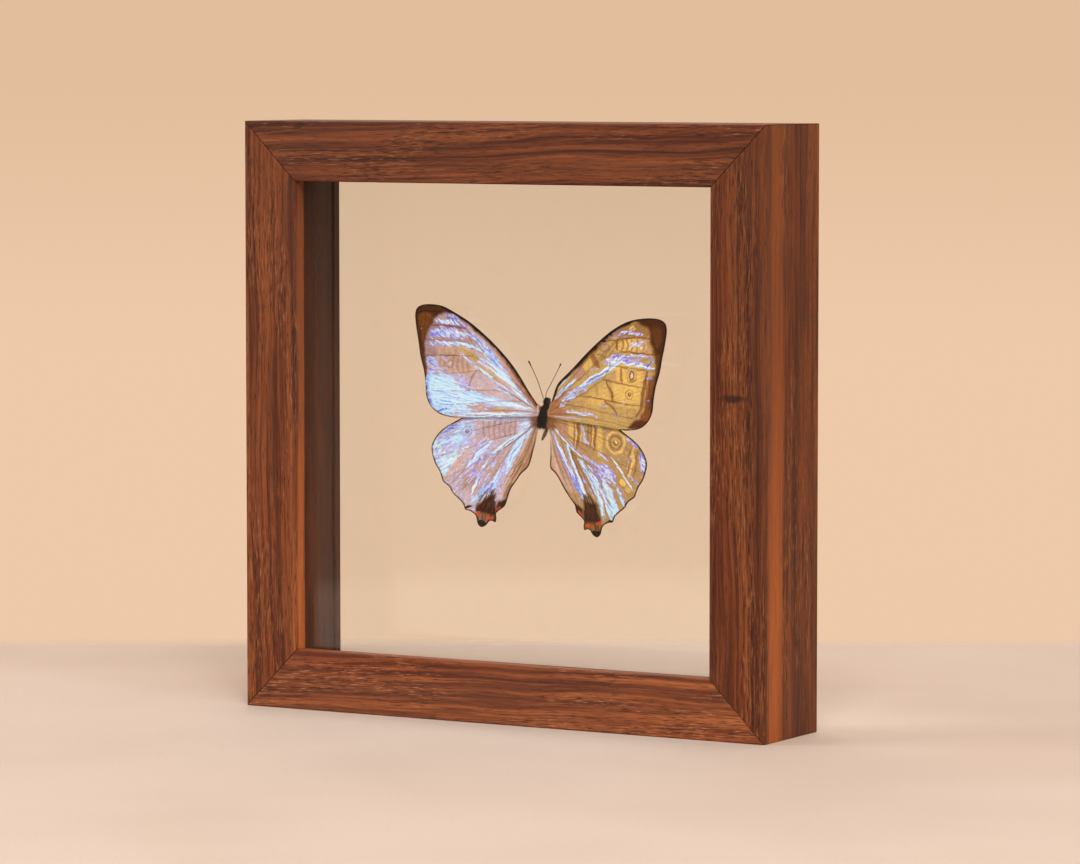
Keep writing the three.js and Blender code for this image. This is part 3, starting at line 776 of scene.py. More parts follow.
    stroke("brown", 2.4, (3.4, 3.6), (10, 12.4), (15, 17.6), (20, 22), (25, 25.5), (30, 28.3),
           strength=0.7),
    stroke("mid_brown", 3.0, (2.6, 2.4), (6, 7.4), (9, 11), (12.6, 14.8), strength=0.75),
    stroke("rust", 1.4, (2.4, 1.6), (3.8, 3.6), (6, 6.6), strength=0.8),
    stroke("dark_brown", 1.9, (3, 3.4), (10, 12.8), (15, 18), (20, 22.2), (25, 25.8), (30, 28.5),
           strength=0.75),
    stroke("near_black", 1.6, (2.2, 2.4), (5, 6), (10, 12.8), (15, 17.9), (20, 22.2), (25, 25.8),
           (30, 28.5), (35, 30.5)),
    stroke("near_black", 1.0, (34, 30.4), (40, 31), (43, 30.1), (44, 28), (43.6, 24), (42.7, 19.5),
           (41.9, 15), (40.7, 11), (40.1, 8)),
    stroke("olive", 0.8, (37.4, 27.8), (38.6, 26), (39, 24), strength=0.7),
    stroke("dark_brown", 2.5, (43, 24), (42.2, 19.5), (41.4, 15), (40.6, 11), (40.2, 8), strength=0.85),
)
RIGHT_FOREWING = (
    # Yellow and reddish ground.
    patch("yellow", 2.2, (25, 12), (25, 17), (35, 16.4), (36, 13), (35, 5), (28, 4), (25, 7), strength=0.8),
    patch("yellow", 1.2, (25, 20.8), (27, 24), (35, 24.4), (37, 22), (30, 20.4), strength=0.8),
    patch("yellow", 1.0, (13.6, 15.4), (16.4, 18.6), (17.4, 16), (14.8, 13.6), strength=0.7),
    patch("yellow", 2.4, (16, 5), (22, 10), (24, 8), (24, 5), (20, 3.4), strength=0.6),
    patch("pink_brown", 2.0, (1, -1), (3, 4.5), (8, 8), (12, 7), (9, 2), (8, -1.2), strength=0.6),
    patch("rust", 1.8, (1, -1), (3, 4), (5, 5), (7, 2.6), (6, -1.2), strength=0.42),
    fan("rust", 0.4, 9, ((2.6, -0.6), (7, -0.6), (12, -0.6)), ((2.8, 2.8), (6.6, 6.4), (10.6, 10)),
        strength=0.6),
    fan("brown", 0.3, 7, ((4, 0), (10, 0.4), (18, 0.6)), ((4, 2.4), (10, 6), (18, 10)), strength=0.5),
    patch("pink_tan", 0.8, (20, 22.6), (24, 26), (28, 28), (28, 26.8), (24.6, 24.6), (21.6, 22.4),
          strength=0.8),

    # Brown bars and rings, with sheen in the top cells.
    *eyespot((12.7, 12.8), 45, ("pink_brown", (2.3, 1.7), 0, 0.95), ("brown", (2.3, 1.7), 0.3, 0.45)),
    stroke("brown", 2.3, (17.2, 19.6), (18, 17.6), (19.8, 15.4), strength=0.9),
    *eyespot((21.8, 21.1), 10, ("tan", (1.8, 1.0), 0, 0.8), ("brown", (1.8, 1.0), 0.35, 0.7)),
    stroke("brown", 0.4, (19, 19.2), (21, 18.8), (23, 17.6), strength=0.7),
    stroke("brown", 0.5, (20.5, 23), (26, 23.8), (34, 25), (38, 24.8)),
    stroke("brown", 0.5, (27.5, 20.4), (34, 20.4), (40, 20.2)),
    stroke("brown", 0.35, (27.5, 15.8), (33, 15.5), (38, 15.3), strength=0.8),
    stroke("brown", 0.35, (21.5, 11.4), (26, 11), (34.8, 10.1), strength=0.8),
    stroke("brown", 0.35, (16, 6.2), (22, 5.6), (25, 5.1), (33.5, 4.7), strength=0.8),
    stroke("brown", 1.1, (26.4, 24), (26.2, 22), (26.6, 20.6)),
    *bars("brown", 0.7, (28.2, 29.8, 31.6, 33.5), 24.3, 20.8, strength=0.75),
    *bars("pink_brown", 1.1, (35.6, 37.2), 24.4, 20.8, strength=0.8),
    patch("brown", 1.2, (26, 25), (29, 28), (34, 29.4), (37, 28), (37.6, 25.4), strength=0.75),
    oval("yellow", (31.8, 27.6), (1.2, 0.8)),
    dashes("violet", 0.55, 1.8, 20, (27.6, 25.6), (31, 27.2), 6),
    dashes("white", 0.3, 1.2, 30, (28, 26), (31, 26.8), 6),
    stroke("violet", 0.8, (30.6, 25.9), (33, 26.1), (35.4, 26.2)),
    dashes("white", 0.3, 0.9, 20, (31, 25.9), (35, 26.2), 5),
    dashes("lavender", 0.6, 1.0, 40, (31.4, 22.2), (36, 23.8), 9),
    dashes("white", 0.35, 0.8, 50, (31.8, 23.4), (35.2, 21.8), 8),
    dashes("violet", 0.4, 0.8, 20, (26.4, 24.6), (29, 25), 3),

    # The band of sheen across, and rays from the root.
    stroke("lavender", 1.5, (22.4, 16.8), (25, 18.6), (28, 18), (33, 17.3), (36, 16.7), (39.6, 16)),
    dashes("violet", 0.5, 1.6, 40, (22.4, 16.6), (28, 19.4), 9),
    dashes("violet", 0.45, 1.4, 30, (28, 17.9), (39.4, 15.9), 14),
    dashes("white", 0.45, 1.5, 10, (23, 17.4), (39.4, 16.2), 20),
    dashes("white", 0.4, 1.3, 60, (23.6, 16.8), (28, 18.8), 9),
    dashes("lavender", 0.6, 1.4, 10, (28.6, 18.9), (37, 19.4), 8),
    dashes("violet", 0.45, 1.1, 20, (29.4, 18.6), (38, 19.2), 8),
    dashes("white", 0.35, 1.2, 10, (29, 19.4), (35.6, 19.7), 6),
    dashes("deep_blue", 0.6, 1.3, 40, (37.8, 17.2), (39.4, 18.4), 3),
    patch("ice", 0.5, (12.4, 8.2), (16, 9.8), (21, 12.4), (25.4, 15), (28, 17.2), (26.6, 17.2), (22, 14.8),
          (16, 11.4)),
    fan("white", 0.45, 4, ((12, 8), (17, 10), (22, 13), (27.4, 16.6)),
        ((12, 8.8), (17, 11.8), (22, 15), (27, 17.6))),
    stroke("deep_blue", 0.35, (15.4, 10.3), (19, 12.3), (23.4, 14.6)),
    stroke("blue", 0.4, (13, 8.3), (17, 10.2), (21.6, 12.8)),
    stroke("plum", 0.25, (15.4, 10.1), (19, 12.1), (23.4, 14.4), strength=0.8),
    patch("ice", 0.5, (3.6, 4), (6, 6.8), (9, 9.6), (11.8, 11.2), (9.4, 8.6), (6, 5.6)),
    stroke("white", 0.35, (4, 4.6), (7, 7.8), (10.8, 10.9)),
    stroke("deep_blue", 0.25, (5.6, 6), (9.8, 9.6), strength=0.7),
    stroke("ice", 0.45, (4.4, 7), (6.6, 9.4), (9.8, 12.4)),
    spray("ice", 0.5, 1.5, 35, 12, *RIGHT_FOREWING_ROOT),
    spray("lavender", 0.45, 1.2, 20, 16, (7, 3.6), (8.6, 6.6), (14, 9.4), (15.4, 7.4), (11, 5)),
    spray("blue", 0.3, 1.1, 35, 8, *RIGHT_FOREWING_ROOT),
    spray("ice", 0.4, 1.2, 30, 7, (4.4, 1.4), (5, 3.4), (8.6, 4.6), (8.6, 3), (6, 1.6)),
    spray("lavender", 0.35, 1.0, 0, 9, (8, 0.4), (8, 1.6), (14, 1.6), (20, 0.7), (20, 0), (14, 0)),
    stroke("lavender", 0.6, (8.4, 0.9), (13, 0.9), (19.8, 0.3)),
    dashes("white", 0.3, 1.4, 0, (8.8, 1), (17, 0.6), 6),
    stroke("lavender", 0.3, (3, -0.7), (9, -0.6), (16, -0.9), strength=0.8),
    stroke("violet", 0.5, (25.6, 1.1), (27.6, 1.3)),
    stroke("lavender", 0.4, (20.6, 4), (22, 3.8), (23.4, 3.9), strength=0.8),
    dashes("lavender", 0.4, 0.6, 40, (28.6, 5.4), (29.8, 4.8), 3),
    dashes("lavender", 0.45, 0.9, 10, (17.4, 14.4), (19, 15), 3),

    # Eyespots, and bars over the sheen.
    *eyespot(
        (32, 13.5), 0,
        ("yellow", (2.2, 2.6), 0, 0.8), ("brown", (1.7, 2.1), 0.3, 0.8), ("pink_brown", (1.1, 1.7), 0, 0.9),
    ),
    oval("umber", (32, 13.4), (0.75, 1.3), rim=0.3, strength=0.85),
    oval("cream", (32, 13.5), (0.35, 1.0)),
    *eyespot(
        (31.2, 7.7), 0,
        ("yellow", (1.9, 1.9), 0, 0.8), ("brown", (1.5, 1.5), 0.3, 0.75), ("umber", (0.8, 0.7), 0, 0.9),
        ("cream", (0.32, 0.32), 0, 1.0),
    ),
    stroke("pink_brown", 1.3, (25.5, 14.4), (25.4, 12.8), (25.9, 11.2), strength=0.7),
    stroke("brown", 1.0, (28.2, 15.6), (27.9, 13.2), (28.3, 11), strength=0.8),
    stroke("brown", 1.0, (22.6, 11.2), (23.6, 9.6), (24.9, 7.8), (25, 5.2)),
    stroke("brown", 0.8, (22.2, 5.2), (24.4, 4), (26.2, 2.4), (26.8, 1.4), strength=0.9),
    stroke("pink_brown", 0.8, (14.6, 4.8), (14.4, 2.8), (14.6, 1), strength=0.7),
    stroke("brown", 0.5, (18.8, 10), (19.4, 8.2), (19, 6.2), strength=0.4),
    oval("brown", (32.2, 2.2), (1.6, 1.4), rim=0.3, strength=0.6),
    stroke("brown", 1.3, (37.6, 15), (36.8, 12), (36.2, 9.5), (36, 7), (35.8, 4), (34.6, 2), (34, 1.2)),

    # The dark tip and edges.
    patch("mid_brown", 1.2, (32, 31), (35.6, 29), (37.6, 27), (38, 24), (39.2, 21), (40, 18), (40.2, 15),
          (38.4, 13), (37.4, 10), (37, 6), (36.4, 3), (35.4, 1), (38, -1.5), (41.5, 2), (42, 9), (44, 20),
          (46, 30), (40, 33)),
    patch("dark_brown", 1.2, (31, 31), (34.4, 29), (37.6, 27.6), (38.6, 24), (39.8, 21), (40.6, 17),
          (40.4, 13), (39.4, 9), (39, 4), (41, 2), (43, 10), (46, 22), (46, 31), (40, 33)),
    *bars("dark_brown", 0.4, (37, 38.2), 13, 2, strength=0.45),
    patch("olive", 0.9, (38.6, 28), (41.8, 28.4), (42.4, 24.6), (41, 22), (39.8, 24), strength=0.5),
    patch("olive", 0.6, (40.6, 20), (41.8, 20.4), (41.4, 16), (40.6, 15.6), strength=0.5),
    stroke("violet", 0.6, (37.4, 12.9), (39.4, 13.1)),
    oval("violet", (38.3, 6.5), (0.45, 0.3)),
    patch("red_brown", 0.9, (31, -2.4), (32.4, -0.6), (34.6, 0.4), (36.4, 0.6), (38, -0.4), (36.4, -2)),
    stroke("brown", 3.4, (10, 13.6), (15, 18.4), (20, 22.8), (25, 26.5), (30, 29.2), strength=0.65),
    stroke("lavender", 0.3, (20.4, 22.4), (24, 25.2), (27.6, 27.4), strength=0.8),
    stroke("dark_brown", 3.0, *FOREWING_BASE["right"], (35, 30.7), strength=0.85),
    stroke("near_black", 2.0, *FOREWING_BASE["right"], (35, 30.7)),
    stroke("near_black", 0.6, (20, 23), (21, 22.9), (22, 23.4)),
    stroke("near_black", 1.1, (30, 29.5), *FOREWING_RIM[:14]),
)
# As on the left forewing, the pearly marks follow the scales' pattern, with the sheen this wing catches
# painted in.
LEFT_HINDWING = (
    # Ground colours, with brown rays near the root.
    patch("tan", 2.0, (2, -5), (5, -8), (8.6, -14), (12.4, -24), (9, -22), (5, -17), (2, -9)),
    patch("brown", 1.6, (3, -9), (5, -12), (8, -19), (6, -18), (3, -14), strength=0.45),
    patch("mauve", 2.6, (11, -10), (20, -13), (28, -19), (24, -26), (16, -20), strength=0.5),
    patch("mauve", 2.0, (10, -3), (20, -4), (22, -9), (12, -8), strength=0.35),
    fan("rust", 0.4, 5, ((2.4, -3), (3, -6), (4, -9.6)), ((2.4, -1.8), (5.6, -3.4), (9, -5)), strength=0.8),
    fan("brown", 0.3, 6, ((3, -5), (5, -12), (9.6, -22)), ((3.4, -4.6), (7, -12), (12.4, -22)),
        strength=0.7),
    fan("mid_brown", 0.3, 4, ((5, -16), (8, -20), (11.6, -25)), ((7, -14), (10.6, -19), (14, -25)),
        strength=0.8),
    *bars("mauve", 0.75, (9.6, 11.3, 13.1, 14.9, 16.7, 18.4, 20.2), -3, -8.6, strength=0.75),
    patch("tan", 0.9, (16, -14.6), (17.8, -15.6), (18.2, -20), (16.6, -19.4), strength=0.8),
    patch("tan", 1.0, (24.4, -20.8), (26.6, -21.4), (26.6, -24.4), (24.8, -24), strength=0.8),
    patch("tan", 0.8, (22.6, -15.4), (24, -16.4), (24, -18), (22.8, -17.4), strength=0.7),

    # Thin rays of sheen.
    fan("lavender", 0.45, 4, *LEFT_HINDWING_TOP),
    fan("white", 0.3, 4, *LEFT_HINDWING_TOP, strength=0.8),
    fan("sky", 0.5, 6, *LEFT_HINDWING_ROOT),
    fan("white", 0.35, 5, *LEFT_HINDWING_ROOT),
    fan("lavender", 0.4, 9, ((10, -12), (13, -17), (15, -23)), ((14, -9), (20, -12), (27, -17)),
        strength=0.8),
    spray("lavender", 0.6, 2.2, -58, 30, (15, -13.6), (20, -12.4), (25, -17), (24, -23), (18, -22),
          strength=0.85),
    spray("violet", 0.35, 1.5, -58, 15, (16, -14), (20, -13), (24, -17), (24, -22), (18, -22),
          strength=0.8),

    # Light blue bands along the veins.
    patch("sky", 0.9, (3.8, -4.4), (7.6, -7.4), (10.8, -11.4), (12.4, -15.6), (12.4, -19.4), (10, -14.8),
          (7.4, -10)),
    patch("ice", 0.7, (4.4, -5), (8, -8.2), (10.9, -12), (12.2, -16), (11.8, -17.4), (9.6, -13.4),
          (7.4, -9.4)),
    fan("white", 0.35, 4, ((4.4, -5.4), (7.4, -10), (10, -14.6), (12, -19)),
        ((4.6, -5), (8.8, -9), (11.6, -13.6), (12.8, -19))),
    stroke("blue", 0.3, (8, -9.6), (10.2, -12.6), (11.2, -15.4), strength=0.9),
    stroke("lavender", 0.5, (12.6, -17), (13.4, -20), (15, -23)),
    patch("ice", 0.5, (6.6, -5), (12, -8.6), (16.4, -12.2), (18.8, -14.6), (14, -12), (9.4, -8.4)),
    stroke("white", 0.45, (5.4, -5), (11, -8.7), (17.4, -13.5)),
    stroke("near_black", 0.2, (5, -5.2), (8.8, -8), (13, -11.2), strength=0.8),
    stroke("plum", 0.25, (9, -7.4), (13, -10.4), (16, -13), strength=0.6),
    patch("ice", 0.5, (17.6, -9), (22, -12.4), (26.2, -18.6), (22, -15.2), (18.8, -11.6)),
    stroke("white", 0.4, (18, -9.6), (22, -13.4), (25.6, -18)),
    stroke("violet", 0.3, (18.6, -10), (22.4, -13), (24.4, -15.8)),
    stroke("lavender", 0.5, (19.4, -8.6), (23, -11.6), (26, -14.6)),
    patch("sky", 0.6, (14.2, -17.6), (16.4, -20.6), (18.4, -25.4), (17.2, -26), (15, -21.6)),
    stroke("white", 0.5, (14.8, -18.6), (16.4, -22), (17.6, -25)),
    fan("ice", 0.45, 5, ((17.4, -22), (18.8, -25), (20, -28.4)), ((19.8, -21.6), (21.6, -25), (23, -29))),
    fan("blue", 0.4, 5, ((16.6, -22), (18, -25), (19.4, -28)), ((19.8, -21.6), (21.4, -25), (22.4, -28.6))),
    fan("sky", 0.45, 6, ((16.6, -22), (18, -25), (19.4, -28)), ((19.8, -21.6), (21.4, -25), (22.8, -28.8))),
    fan("violet", 0.3, 3, ((15.6, -22), (17, -25), (18.4, -27.4)),
        ((18.8, -21.6), (20.4, -25), (21.4, -28.6))),
    stroke("white", 0.8, (21.2, -20), (22.6, -23), (24, -26)),
    stroke("tan", 1.2, (13, -11), (15.4, -16), (17, -20.6), strength=0.7),
    stroke("pink_tan", 1.2, (18, -16), (19.6, -19.6), (20.6, -22.6), strength=0.6),
    stroke("ice", 0.6, (19, -15.6), (21, -19.4), (22, -22)),
    stroke("lavender", 0.8, (20.2, -18), (21.6, -21)),
    patch("ice", 0.6, (21.8, -26.6), (24, -27), (24, -29.2), (22.4, -28.8), strength=0.85),

    # The eyespot in the corner, and the light outer part.
    patch("sky", 2.0, *LEFT_HINDWING_CORNER, strength=0.7),
    spray("white", 0.35, 1.4, -20, 10, *LEFT_HINDWING_CORNER),
    oval("mauve", (26, -7.2), (1.6, 1.4), -20, rim=0.4, strength=0.8),
    oval("plum", (26, -7.2), (0.7, 0.6), strength=0.8),
    oval("ice", (26, -7), (0.35, 0.25)),
    patch("blue", 0.8, (30.6, -5.5), (34, -7.8), (33.4, -8.6), (31, -6.8), strength=0.7),
    dashes("deep_blue", 0.45, 1.4, -20, (30, -5.6), (34.4, -8.2), 5),
    patch("sky", 1.6, (27, -8.4), (33, -8.6), (37.6, -11), (37.4, -15), (34.8, -21), (31.6, -18),
          (26, -12)),
    patch("ice", 1.4, (27.4, -8.8), (33, -9.6), (37.2, -11.4), (36, -13.6), (31, -12.4), strength=0.9),
    patch("ice", 1.2, (25.4, -11.4), (30, -13.2), (34, -16.4), (35.4, -19), (34, -22), (31, -17.6),
          (27.4, -14.4)),
    stroke("pink_tan", 1.6, (22.6, -10.4), (27.6, -15.4), (32, -21), strength=0.75),
    stroke("white", 0.8, (26, -12), (30.4, -15), (34, -20)),
    spray("lavender", 0.7, 1.5, -40, 26, (30, -9), (37.4, -11.4), (37.2, -17), (33, -15), (30, -12)),
    spray("mauve", 0.4, 1.2, -40, 9, *LEFT_HINDWING_RIM, strength=0.7),
    spray("pink_tan", 0.4, 1.2, -40, 8, *LEFT_HINDWING_RIM, strength=0.8),
    spray("white", 0.35, 1.5, -45, 16, (26, -11.4), (34, -13), (36.6, -16), (34, -21), (29, -16)),
    fan("lavender", 0.4, 6, ((19, -10), (26, -14.6), (32.6, -21)), ((22, -7.6), (29, -9.4), (35, -12)),
        (0.0, 0.7)),
    fan("pink_tan", 0.35, 5, ((21, -10), (27, -14), (33, -19.6)), ((22, -8), (28, -10.4), (34, -13)),
        strength=0.8),
    fan("lavender", 0.45, 7, ((18, -18), (21, -23), (25, -29)), ((26, -17), (29, -20), (32.6, -23.6)),
        strength=0.85),
    fan("brown", 0.3, 4, ((20, -20), (23, -25), (26, -29.4)), ((26, -18), (29, -21), (32.6, -24)),
        strength=0.35),
    fan("mauve", 0.4, 6, ((19, -19), (22, -24), (25, -29.4)), ((26, -18), (29, -21), (32.6, -24)),
        strength=0.6),

    # The dark tails with their red spots.
    patch("mid_brown", 1.0, (9.4, -22), (12, -22.6), (13.4, -27.6), (11.6, -27), (9.6, -23.4),
          strength=0.7),
    patch("umber", 0.8, (11.8, -27), (13.4, -27.4), (15.4, -28.4), (15.6, -31.6), (13.8, -31), (12.2, -29)),
    patch("umber", 1.1, (15.8, -25.6), (17.4, -26.2), (19.6, -27.2), (22, -29.4), (22.6, -31.6),
          (19, -32.6), (15.6, -32.4), (15.6, -29)),
    fan("umber", 0.7, 6, ((15.6, -23), (16.2, -26), (16.6, -29)),
        ((18.8, -24.4), (21.4, -26.8), (23.2, -29.6))),
    fan("olive", 0.35, 6, ((16, -26.6), (16.6, -29.6), (16.6, -32.4)),
        ((20, -27.6), (21.6, -29.6), (22, -32)), strength=0.45),
    patch("mid_brown", 0.8, (16, -32.2), (21.8, -31.8), (22.4, -34), (18.4, -35), (15.4, -34),
          strength=0.85),
    fan("umber", 0.6, 5, ((15.8, -31.6), (16.2, -33.4), (17, -35)),
        ((21.6, -31.6), (21.8, -33.4), (21.6, -35)), strength=0.75),
    stroke("umber", 0.9, (15.2, -32), (15.8, -33.4), (16.2, -34.8)),
    stroke("red", 0.8, (14.2, -29.6), (15, -30.6), (15.8, -31.6)),
    oval("red", (21.8, -32.1), (1.0, 0.45), -30),
    oval("red", (17.6, -33.3), (1.0, 0.5), 20),
    oval("near_black", (20.5, -35.2), (1.9, 1.2)),
    stroke("near_black", 0.8, (23.8, -30), (25.2, -30.2), (26.4, -30.6)),
)
RIGHT_HINDWING = (
    # Ground colours, with brown bars and rays.
    patch("pink_tan", 2.4, (2, -4), (5, -8), (8, -15), (12, -23), (8, -22), (4, -17), (2, -9)),
    patch("pink_brown", 2.0, (4, -3), (12, -3), (14, -9), (18, -13), (12, -12), (6, -7), strength=0.5),
    patch("yellow", 1.2, (8.4, -1.6), (10.8, -1.6), (11, -7), (9, -6.6), strength=0.8),
    patch("yellow", 1.0, (19.4, -2.6), (21.4, -3), (21.4, -11), (19.6, -11), strength=0.8),
    fan("rust", 0.4, 6, ((2.4, -4), (3, -8), (4, -12)), ((2.4, -1.8), (6.6, -3.4), (11, -5)), strength=0.7),
    fan("brown", 0.3, 7, ((2.8, -6), (4.6, -14), (9, -23)), ((3.6, -5), (6.6, -13), (12, -23)),
        strength=0.6),
    fan("brown", 0.5, 7, ((8, -9), (12, -16), (17, -25)), ((14, -12), (21, -17), (29, -24)), strength=0.8),
    stroke("brown", 0.5, (5, -3.6), (11, -7.4), (17, -12), strength=0.5),
    *bars("pink_brown", 1.0, (6.4, 8.1), -1.8, -6.4, strength=0.8),
    *bars("brown", 1.1, (12.2, 18.4), -1.4, -10, strength=0.95),
    *bars("brown", 0.7, (10.9, 15.9, 17), -1.8, -9.4, strength=0.75),
    *bars("yellow", 0.6, (11.5, 13.4, 17.7), -2, -8.6, strength=0.8),
    spray("lavender", 0.5, 1.5, -70, 9, (13.6, -3), (15, -3), (16, -8), (14.8, -8)),
    stroke("sky", 0.4, (14.2, -3.4), (14.9, -5.6), (15.6, -7.4)),
    dashes("violet", 0.5, 0.8, 60, (18.6, -2), (19, -3.2), 3),
    dashes("lavender", 0.4, 1.2, -70, (11.4, -5), (18, -9), 5, strength=0.7),

    # The large eyespot, and yellow marks along the rim.
    *eyespot(
        (26.3, -7), 0,
        ("yellow", (3.3, 3.2), 0.8, 0.85), ("cream", (3.2, 3.1), 0.25, 0.5),
        ("brown", (2.1, 2.0), 0.5, 0.85), ("honey", (1.6, 1.5), 0, 0.9), ("yellow", (1.3, 1.2), 0.4, 0.7),
    ),
    stroke("brown", 0.5, (25.4, -7), (26.4, -7.8), (27.2, -7)),
    stroke("cream", 0.5, (26, -6.2), (26.7, -7.3)),
    stroke("yellow", 1.2, (33, -8), (32.4, -10), (33, -12), (32, -14), (31.6, -17)),
    stroke("brown", 0.5, (32.1, -8.4), (31.3, -10.6), (31.8, -13), (30.6, -16.4), strength=0.8),
    stroke("brown", 0.6, (34.6, -8.9), (33.8, -11), (34.2, -13), (33, -17), strength=0.8),
    dashes("lavender", 0.4, 1.0, 70, (31.8, -11), (31.2, -15.6), 4, strength=0.8),
    oval("yellow", (29.2, -19), (1.4, 0.9), -40),
    oval("yellow", (31.2, -21), (1.2, 0.6), -30),
    oval("yellow", (25, -17.6), (0.9, 0.7), -40, strength=0.8),

    # Sheen along the rim.
    patch("lavender", 0.9, (35.3, -9.6), (37.2, -10.4), (37.6, -14.4), (36.2, -15.2), (35.2, -12.4)),
    spray("white", 0.5, 1.4, -75, 7, (35.6, -10.2), (37, -11), (37, -14.4), (36, -14.6)),
    spray("violet", 0.4, 1.0, -75, 8, (35.2, -9.6), (37.2, -10.4), (37.4, -14.4), (36.2, -15.2)),
    dashes("lavender", 0.6, 1.1, -10, (31, -6), (34.6, -7.8), 5),
    dashes("violet", 0.4, 0.9, 30, (31.4, -6.6), (34.4, -7.8), 5),
    dashes("lavender", 0.55, 2.2, -45, (33, -17), (34.6, -18.6), 3),
    dashes("violet", 0.35, 1.6, -45, (33.4, -17.6), (34.8, -19), 2),

    # Light blue bands along the veins.
    patch("sky", 0.7, (1.8, -3.4), (5.8, -9.4), (9.6, -15.4), (14, -21), (16.8, -26.4), (13, -23),
          (8.6, -16.4), (4.8, -10)),
    fan("white", 0.45, 4, ((2.2, -4), (5.2, -10), (9, -16), (15, -25)),
        ((2.4, -4), (5.8, -9.4), (10, -15.4), (16.6, -25))),
    stroke("blue", 1.1, (9.6, -17.4), (12.4, -21.4), (16, -26), strength=0.8),
    stroke("deep_blue", 0.35, (11.6, -18.6), (13.6, -21.6), (15.6, -24.6)),
    stroke("violet", 0.35, (3, -6), (6.4, -12.4), (9.6, -17.4), (12.6, -22), strength=0.8),
    stroke("white", 1.0, (8.5, -8.8), (10.5, -13.4), (13, -18.5), (16, -24)),
    stroke("violet", 0.3, (7.8, -9), (9.8, -14), (12.4, -19.4), (15.4, -24.6), strength=0.8),
    stroke("plum", 0.4, (9.4, -9.6), (12, -14.8), (14.6, -19.4), (17.2, -24.6), strength=0.9),
    stroke("ice", 1.0, (4.2, -4.6), (9, -8.5), (14.6, -12.2)),
    stroke("white", 0.4, (5, -5.4), (9.6, -9.4), (15.4, -13)),
    stroke("plum", 0.2, (6, -5.8), (10, -9), (14, -11.6), strength=0.6),
    stroke("lavender", 0.8, (14, -11.9), (17.4, -13.4), (20.4, -14.8)),
    patch("lavender", 1.4, (18.6, -13.4), (22, -14), (25.6, -16), (26.6, -19.6), (24.8, -19.6),
          (21.4, -17.4), strength=0.6),
    spray("lavender", 0.55, 1.0, -30, 30, (18.4, -13), (22, -13.8), (26, -16), (27, -20), (24.6, -20),
          (20, -18)),
    spray("violet", 0.4, 0.8, -60, 30, (18, -13), (22, -14), (26, -16), (27, -20), (24.4, -20),
          (19.6, -18)),
    spray("white", 0.3, 0.8, -30, 14, (19, -13.6), (22, -14.4), (25.6, -16.4), (26, -19), (21, -17)),
    spray("lavender", 0.5, 1.4, -60, 26, *RIGHT_HINDWING_MIDDLE),
    spray("violet", 0.35, 1.1, -60, 20, *RIGHT_HINDWING_MIDDLE),
    patch("ice", 0.8, (12.8, -12.8), (17.4, -16.4), (20.6, -20.8), (22.6, -26), (22.8, -31), (20.8, -26),
          (18, -21), (14.6, -16)),
    fan("white", 0.4, 4, ((13, -14), (17, -19), (20.6, -25), (22, -30.6)),
        ((14, -13), (18.4, -17.4), (22, -23.4), (23, -30.6))),
    stroke("white", 1.1, (16.4, -14.6), (19.8, -19), (22.6, -23.8), (25.2, -30)),
    stroke("violet", 0.35, (17.4, -14.8), (20.8, -19.2), (23.4, -24), (25.6, -29), strength=0.9),
    stroke("honey", 0.7, (20.4, -21.4), (22.6, -25.6), (24, -29.4), strength=0.7),
    stroke("blue", 0.3, (15, -15.6), (18.4, -20), (20.6, -24.6), strength=0.8),
    patch("ice", 0.8, (21.6, -18), (25.2, -22), (28, -26.6), (27.4, -28.4), (24.8, -25.6), (22.6, -21.6)),
    fan("white", 0.35, 4, ((21.6, -18.6), (24, -23), (26.6, -28)),
        ((22.4, -18.2), (25.6, -22.2), (28, -27))),
    patch("ice", 0.7, (24, -25.6), (26.8, -27.4), (26.4, -30), (25.2, -30.8), strength=0.85),
    stroke("ice", 1.1, (27.2, -20.4), (28.6, -23), (30, -26)),
    dashes("violet", 0.35, 1.0, -50, (27.6, -20.4), (30.4, -25), 5),
    stroke("white", 0.65, (24.8, -11.6), (29, -15.9), (32.8, -21.2)),
    stroke("lavender", 0.65, (20.4, -10.5), (23.6, -12.9)),
    fan("brown", 0.3, 5, ((13, -13), (17, -20), (20, -27)), ((17, -15), (22, -21), (27, -28)),
        strength=0.7),

    # The dark tails with their red spots.
    fan("umber", 0.7, 7, ((14.4, -22), (15, -25), (15.6, -28)), ((18, -23.6), (20.2, -26.4), (22, -30))),
    stroke("brown", 1.0, (4.4, -17.4), (7.4, -21.6), (10.4, -25), (12, -27), strength=0.8),
    patch("umber", 0.8, (10.8, -25.8), (13, -26.8), (15, -28), (14.8, -30.2), (13, -30), (11.4, -28)),
    patch("umber", 1.1, (15, -24.6), (17, -26), (19.4, -25.6), (20.6, -28), (22, -31), (18.6, -32.4),
          (15.2, -31.8), (15.2, -28.4)),
    patch("mid_brown", 0.8, (15.4, -32), (21.8, -31.6), (22, -34.4), (20.4, -36.6), (17.6, -34.6),
          (15.4, -34), strength=0.8),
    fan("umber", 0.6, 5, ((15.4, -31.4), (15.8, -33.2), (16.6, -34.8)),
        ((21, -31.4), (21.2, -33.2), (21, -34.8)), strength=0.75),
    stroke("umber", 0.9, (14.8, -31.8), (15.4, -33), (15.8, -34.2)),
    fan("olive", 0.35, 6, ((15.6, -26), (15.8, -29), (16, -32)),
        ((19.4, -27), (20.8, -29.6), (21.4, -31.8)), strength=0.45),
    oval("red", (14, -29.4), (1.1, 0.45), -40),
    oval("red", (21.3, -31.7), (1.1, 0.5), 30),
    oval("red", (17, -32.7), (1.1, 0.5), 15),
    oval("near_black", (20.1, -35.2), (1.8, 1.1)),
    stroke("near_black", 0.7, (24.4, -30.8), (26.2, -30.8)),
)
